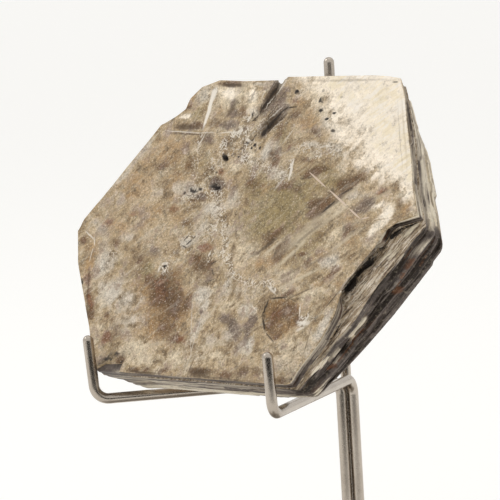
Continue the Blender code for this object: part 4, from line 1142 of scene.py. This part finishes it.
class MICA_OT_rods(bpy.types.Operator):
    """Bend the two hook rods and the back rest from round steel rod"""
    bl_idname = "mica.rods"
    bl_label = "Steel rods"

    def execute(self, context):
        settings = context.scene.mica_stand
        steel = satin_steel(settings)
        ends = rod_ends()
        for name, lean in HOOK_LEANS.items():
            foot, tip = ends[name]
            stem_top = Vector((foot.x, foot.y, ARM_Z))
            outward = Vector((tip.x - foot.x, tip.y - foot.y, 0.0)).normalized()
            height = tip.z - ARM_Z
            corner = Vector((tip.x, tip.y, ARM_Z)) - outward * lean * height
            radii = (settings.arm_bend, settings.hook_bend)
            make_rod(name, [foot, stem_top, corner, tip], radii, settings, steel, [f"{name}_rod"])
        foot, tip = ends["back_rest"]
        knee = Vector((foot.x, foot.y, KNEE_Z))
        make_rod("back_rest", [foot, knee, tip], (KNEE_BEND,), settings, steel, ["back_rod"])
        return {"FINISHED"}


PLATE_CORNER = 6.0 * MM
PLATE_EDGE = 0.8 * MM
SOCKET_RADIUS = ROD_RADIUS + 0.3 * MM
SOCKET_DEPTH = 4.5 * MM


class MICA_OT_base(bpy.types.Operator):
    """Cut the base plate, round its corners, ease its edges and drill the stem's socket"""
    bl_idname = "mica.base"
    bl_label = "Base plate"

    def execute(self, context):
        size = BASE_HIGH - BASE_LOW
        plate = begin(
            "stand_base", bpy.ops.mesh.primitive_cube_add, size=1.0,
            location=(BASE_HIGH + BASE_LOW) / 2, scale=size)
        apply_place(plate)
        corners = [vertex.co.copy() for vertex in plate.data.vertices]
        choose(plate, "EDGE", lambda edge: abs(
            corners[edge.vertices[0]].z - corners[edge.vertices[1]].z) > size.z / 2)
        bpy.ops.mesh.bevel(offset=PLATE_CORNER, segments=12, affect="EDGES")
        leave_edit()
        corners = [vertex.co.copy() for vertex in plate.data.vertices]
        choose(plate, "EDGE", lambda edge: abs(
            corners[edge.vertices[0]].z - corners[edge.vertices[1]].z) < ALMOST)
        bpy.ops.mesh.bevel(offset=PLATE_EDGE, segments=4, affect="EDGES")
        leave_edit()
        for foot, _ in rod_ends().values():
            drill = begin(
                "drill", bpy.ops.mesh.primitive_cylinder_add, vertices=48, radius=SOCKET_RADIUS,
                depth=SOCKET_DEPTH * 2, location=(foot.x, foot.y, BASE_HIGH.z))
            cut = plate.modifiers.new("socket", "BOOLEAN")
            cut.operation, cut.solver, cut.object = "DIFFERENCE", "EXACT", drill
            apply_modifiers(plate)
            bpy.data.objects.remove(drill)
        round_off(plate)
        plate.data.materials.append(brushed_plate(context.scene.mica_stand))
        hand_over(plate, "base_steel", "base_plate")
        return {"FINISHED"}


# ---------------------------------------------------------------- studio

FLOOR_RADIUS = 60.0
FLOOR_GAP = 0.1 * MM                # under the base plate
FLOOR_GLOW = 0.31                   # light from below, as from a lit white table
SKY_COLOUR, SKY_GLOW = (1.0, 0.995, 0.98, 1.0), 0.82
LAMP_AIM = Vector((0.0, 0.0, 0.08))
LAMPS = (  # name, place, size and power
    ("key", (-0.66, -0.53, 0.96), 0.35, 1.6),
    ("top", (0.1, 0.2, 1.3), 1.0, 0.8),
)
# The black card's near and far edges out from the stem, its width and the rise of its folded end.
FLAG_NEAR, FLAG_FAR, FLAG_WIDTH, FLAG_RISE = 0.2, 1.0, 1.5, 0.21
FLAG_TURN = math.radians(6.0)       # the card lies this far to the right of the camera
STEM_Y = 22.0 * MM
# The view's middle lies this far left of and above the top of the stem.
VIEW_LEFT, VIEW_RISE = 22.727 * MM, 30.195 * MM
SENSOR_WIDTH = 36.0                 # millimetres, as the lens is
CLIP_END = 200.0


class MICA_OT_stage(bpy.types.Operator):
    """Lay a plain pale floor, light it softly and set the camera"""
    bl_idname = "mica.stage"
    bl_label = "Studio"

    def execute(self, context):
        settings = context.scene.mica_stage
        floor = begin(
            "floor", bpy.ops.mesh.primitive_circle_add, vertices=96, radius=FLOOR_RADIUS,
            fill_type="NGON", location=(0.0, 0.0, -FLOOR_GAP))
        material, shader = new_material("floor_paper")
        wire(material, shader, {
            "Base Color": (*settings.floor_colour, 1.0), "Roughness": 0.9,
            "Emission Color": (*settings.floor_colour, 1.0), "Emission Strength": FLOOR_GLOW})
        floor.data.materials.append(material)
        set_flag(settings)
        set_camera(settings)
        set_lights()
        return {"FINISHED"}


def set_flag(settings):
    """A black card lies before the stand with its far end folded up. Only reflections show it: it
    draws the dark line along each polished rod."""
    turn = settings.azimuth + FLAG_TURN
    middle = (FLAG_NEAR + FLAG_FAR) / 2
    flag = begin("black_flag", bpy.ops.mesh.primitive_plane_add, size=1.0)
    flag.scale = (FLAG_WIDTH, FLAG_FAR - FLAG_NEAR, 1.0)
    flag.rotation_euler = (0.0, 0.0, turn)
    flag.location = (middle * math.sin(turn), -middle * math.cos(turn), 1.0 * MM)
    apply_place(flag)
    points = flag.data.vertices
    choose(flag, "EDGE", lambda edge: all(
        points[corner].co.xy.length > FLAG_FAR - MM for corner in edge.vertices))
    bpy.ops.mesh.extrude_region_move(TRANSFORM_OT_translate={"value": (0.0, 0.0, FLAG_RISE)})
    leave_edit()
    material, shader = new_material("black_card")
    wire(material, shader, {"Base Color": linear("#0B0A09"), "Roughness": 1.0, "Specular IOR Level": 0.0})
    flag.data.materials.append(material)
    flag.visible_camera = flag.visible_diffuse = False
    flag.visible_shadow = flag.visible_transmission = False


def set_camera(settings):
    turn, rise, roll = settings.azimuth, settings.elevation, settings.roll
    back = Vector((math.sin(turn) * math.cos(rise), -math.cos(turn) * math.cos(rise), math.sin(rise)))
    level_right = Vector((math.cos(turn), math.sin(turn), 0.0))
    level_up = back.cross(level_right)
    right = level_right * math.cos(roll) + level_up * math.sin(roll)
    up = level_up * math.cos(roll) - level_right * math.sin(roll)
    stem_top = Vector((0.0, STEM_Y, ARM_Z))
    place = stem_top - right * VIEW_LEFT + up * VIEW_RISE + back * settings.distance
    clear_selection()
    bpy.ops.object.camera_add()
    camera = bpy.context.object
    camera.matrix_world = Matrix.Translation(place) @ Matrix((right, up, back)).transposed().to_4x4()
    camera.data.lens = settings.lens
    camera.data.sensor_width = SENSOR_WIDTH
    camera.data.clip_end = CLIP_END
    bpy.context.scene.camera = camera


def set_lights():
    world = bpy.data.worlds.new("studio")
    world.use_nodes = True
    background = world.node_tree.nodes["Background"]
    background.inputs["Color"].default_value = SKY_COLOUR
    background.inputs["Strength"].default_value = SKY_GLOW
    bpy.context.scene.world = world
    for name, place, size, power in LAMPS:
        clear_selection()
        bpy.ops.object.light_add(type="AREA", location=place)
        lamp = bpy.context.object
        lamp.name = name
        lamp.data.size = size
        lamp.data.energy = power
        lamp.rotation_euler = (LAMP_AIM - Vector(place)).to_track_quat("-Z", "Y").to_euler()
    bpy.context.scene.view_settings.view_transform = "Standard"


# ---------------------------------------------------------------- add-on

class MICA_PT_panel(bpy.types.Panel):
    """Lists the pieces in the order they are made"""
    bl_label = "Mica display"
    bl_idname = "MICA_PT_panel"
    bl_space_type = "VIEW_3D"
    bl_region_type = "UI"
    bl_category = "Mica"

    def draw(self, context):
        for operator in OPERATORS:
            self.layout.operator(operator.bl_idname)


SETTINGS = {"mica_crystal": CrystalSettings, "mica_stand": StandSettings, "mica_stage": StageSettings}
OPERATORS = (MICA_OT_crystal, MICA_OT_rods, MICA_OT_base, MICA_OT_stage)


def register():
    for kind in (*SETTINGS.values(), *OPERATORS, MICA_PT_panel):
        bpy.utils.register_class(kind)
    for name, kind in SETTINGS.items():
        setattr(bpy.types.Scene, name, PointerProperty(type=kind))


def unregister():
    for name in SETTINGS:
        delattr(bpy.types.Scene, name)
    for kind in (MICA_PT_panel, *OPERATORS, *SETTINGS.values()):
        bpy.utils.unregister_class(kind)


def main():
    register()
    for operator in OPERATORS:
        category, name = operator.bl_idname.split(".")
        getattr(getattr(bpy.ops, category), name)()


if __name__ == "__main__":
    main()
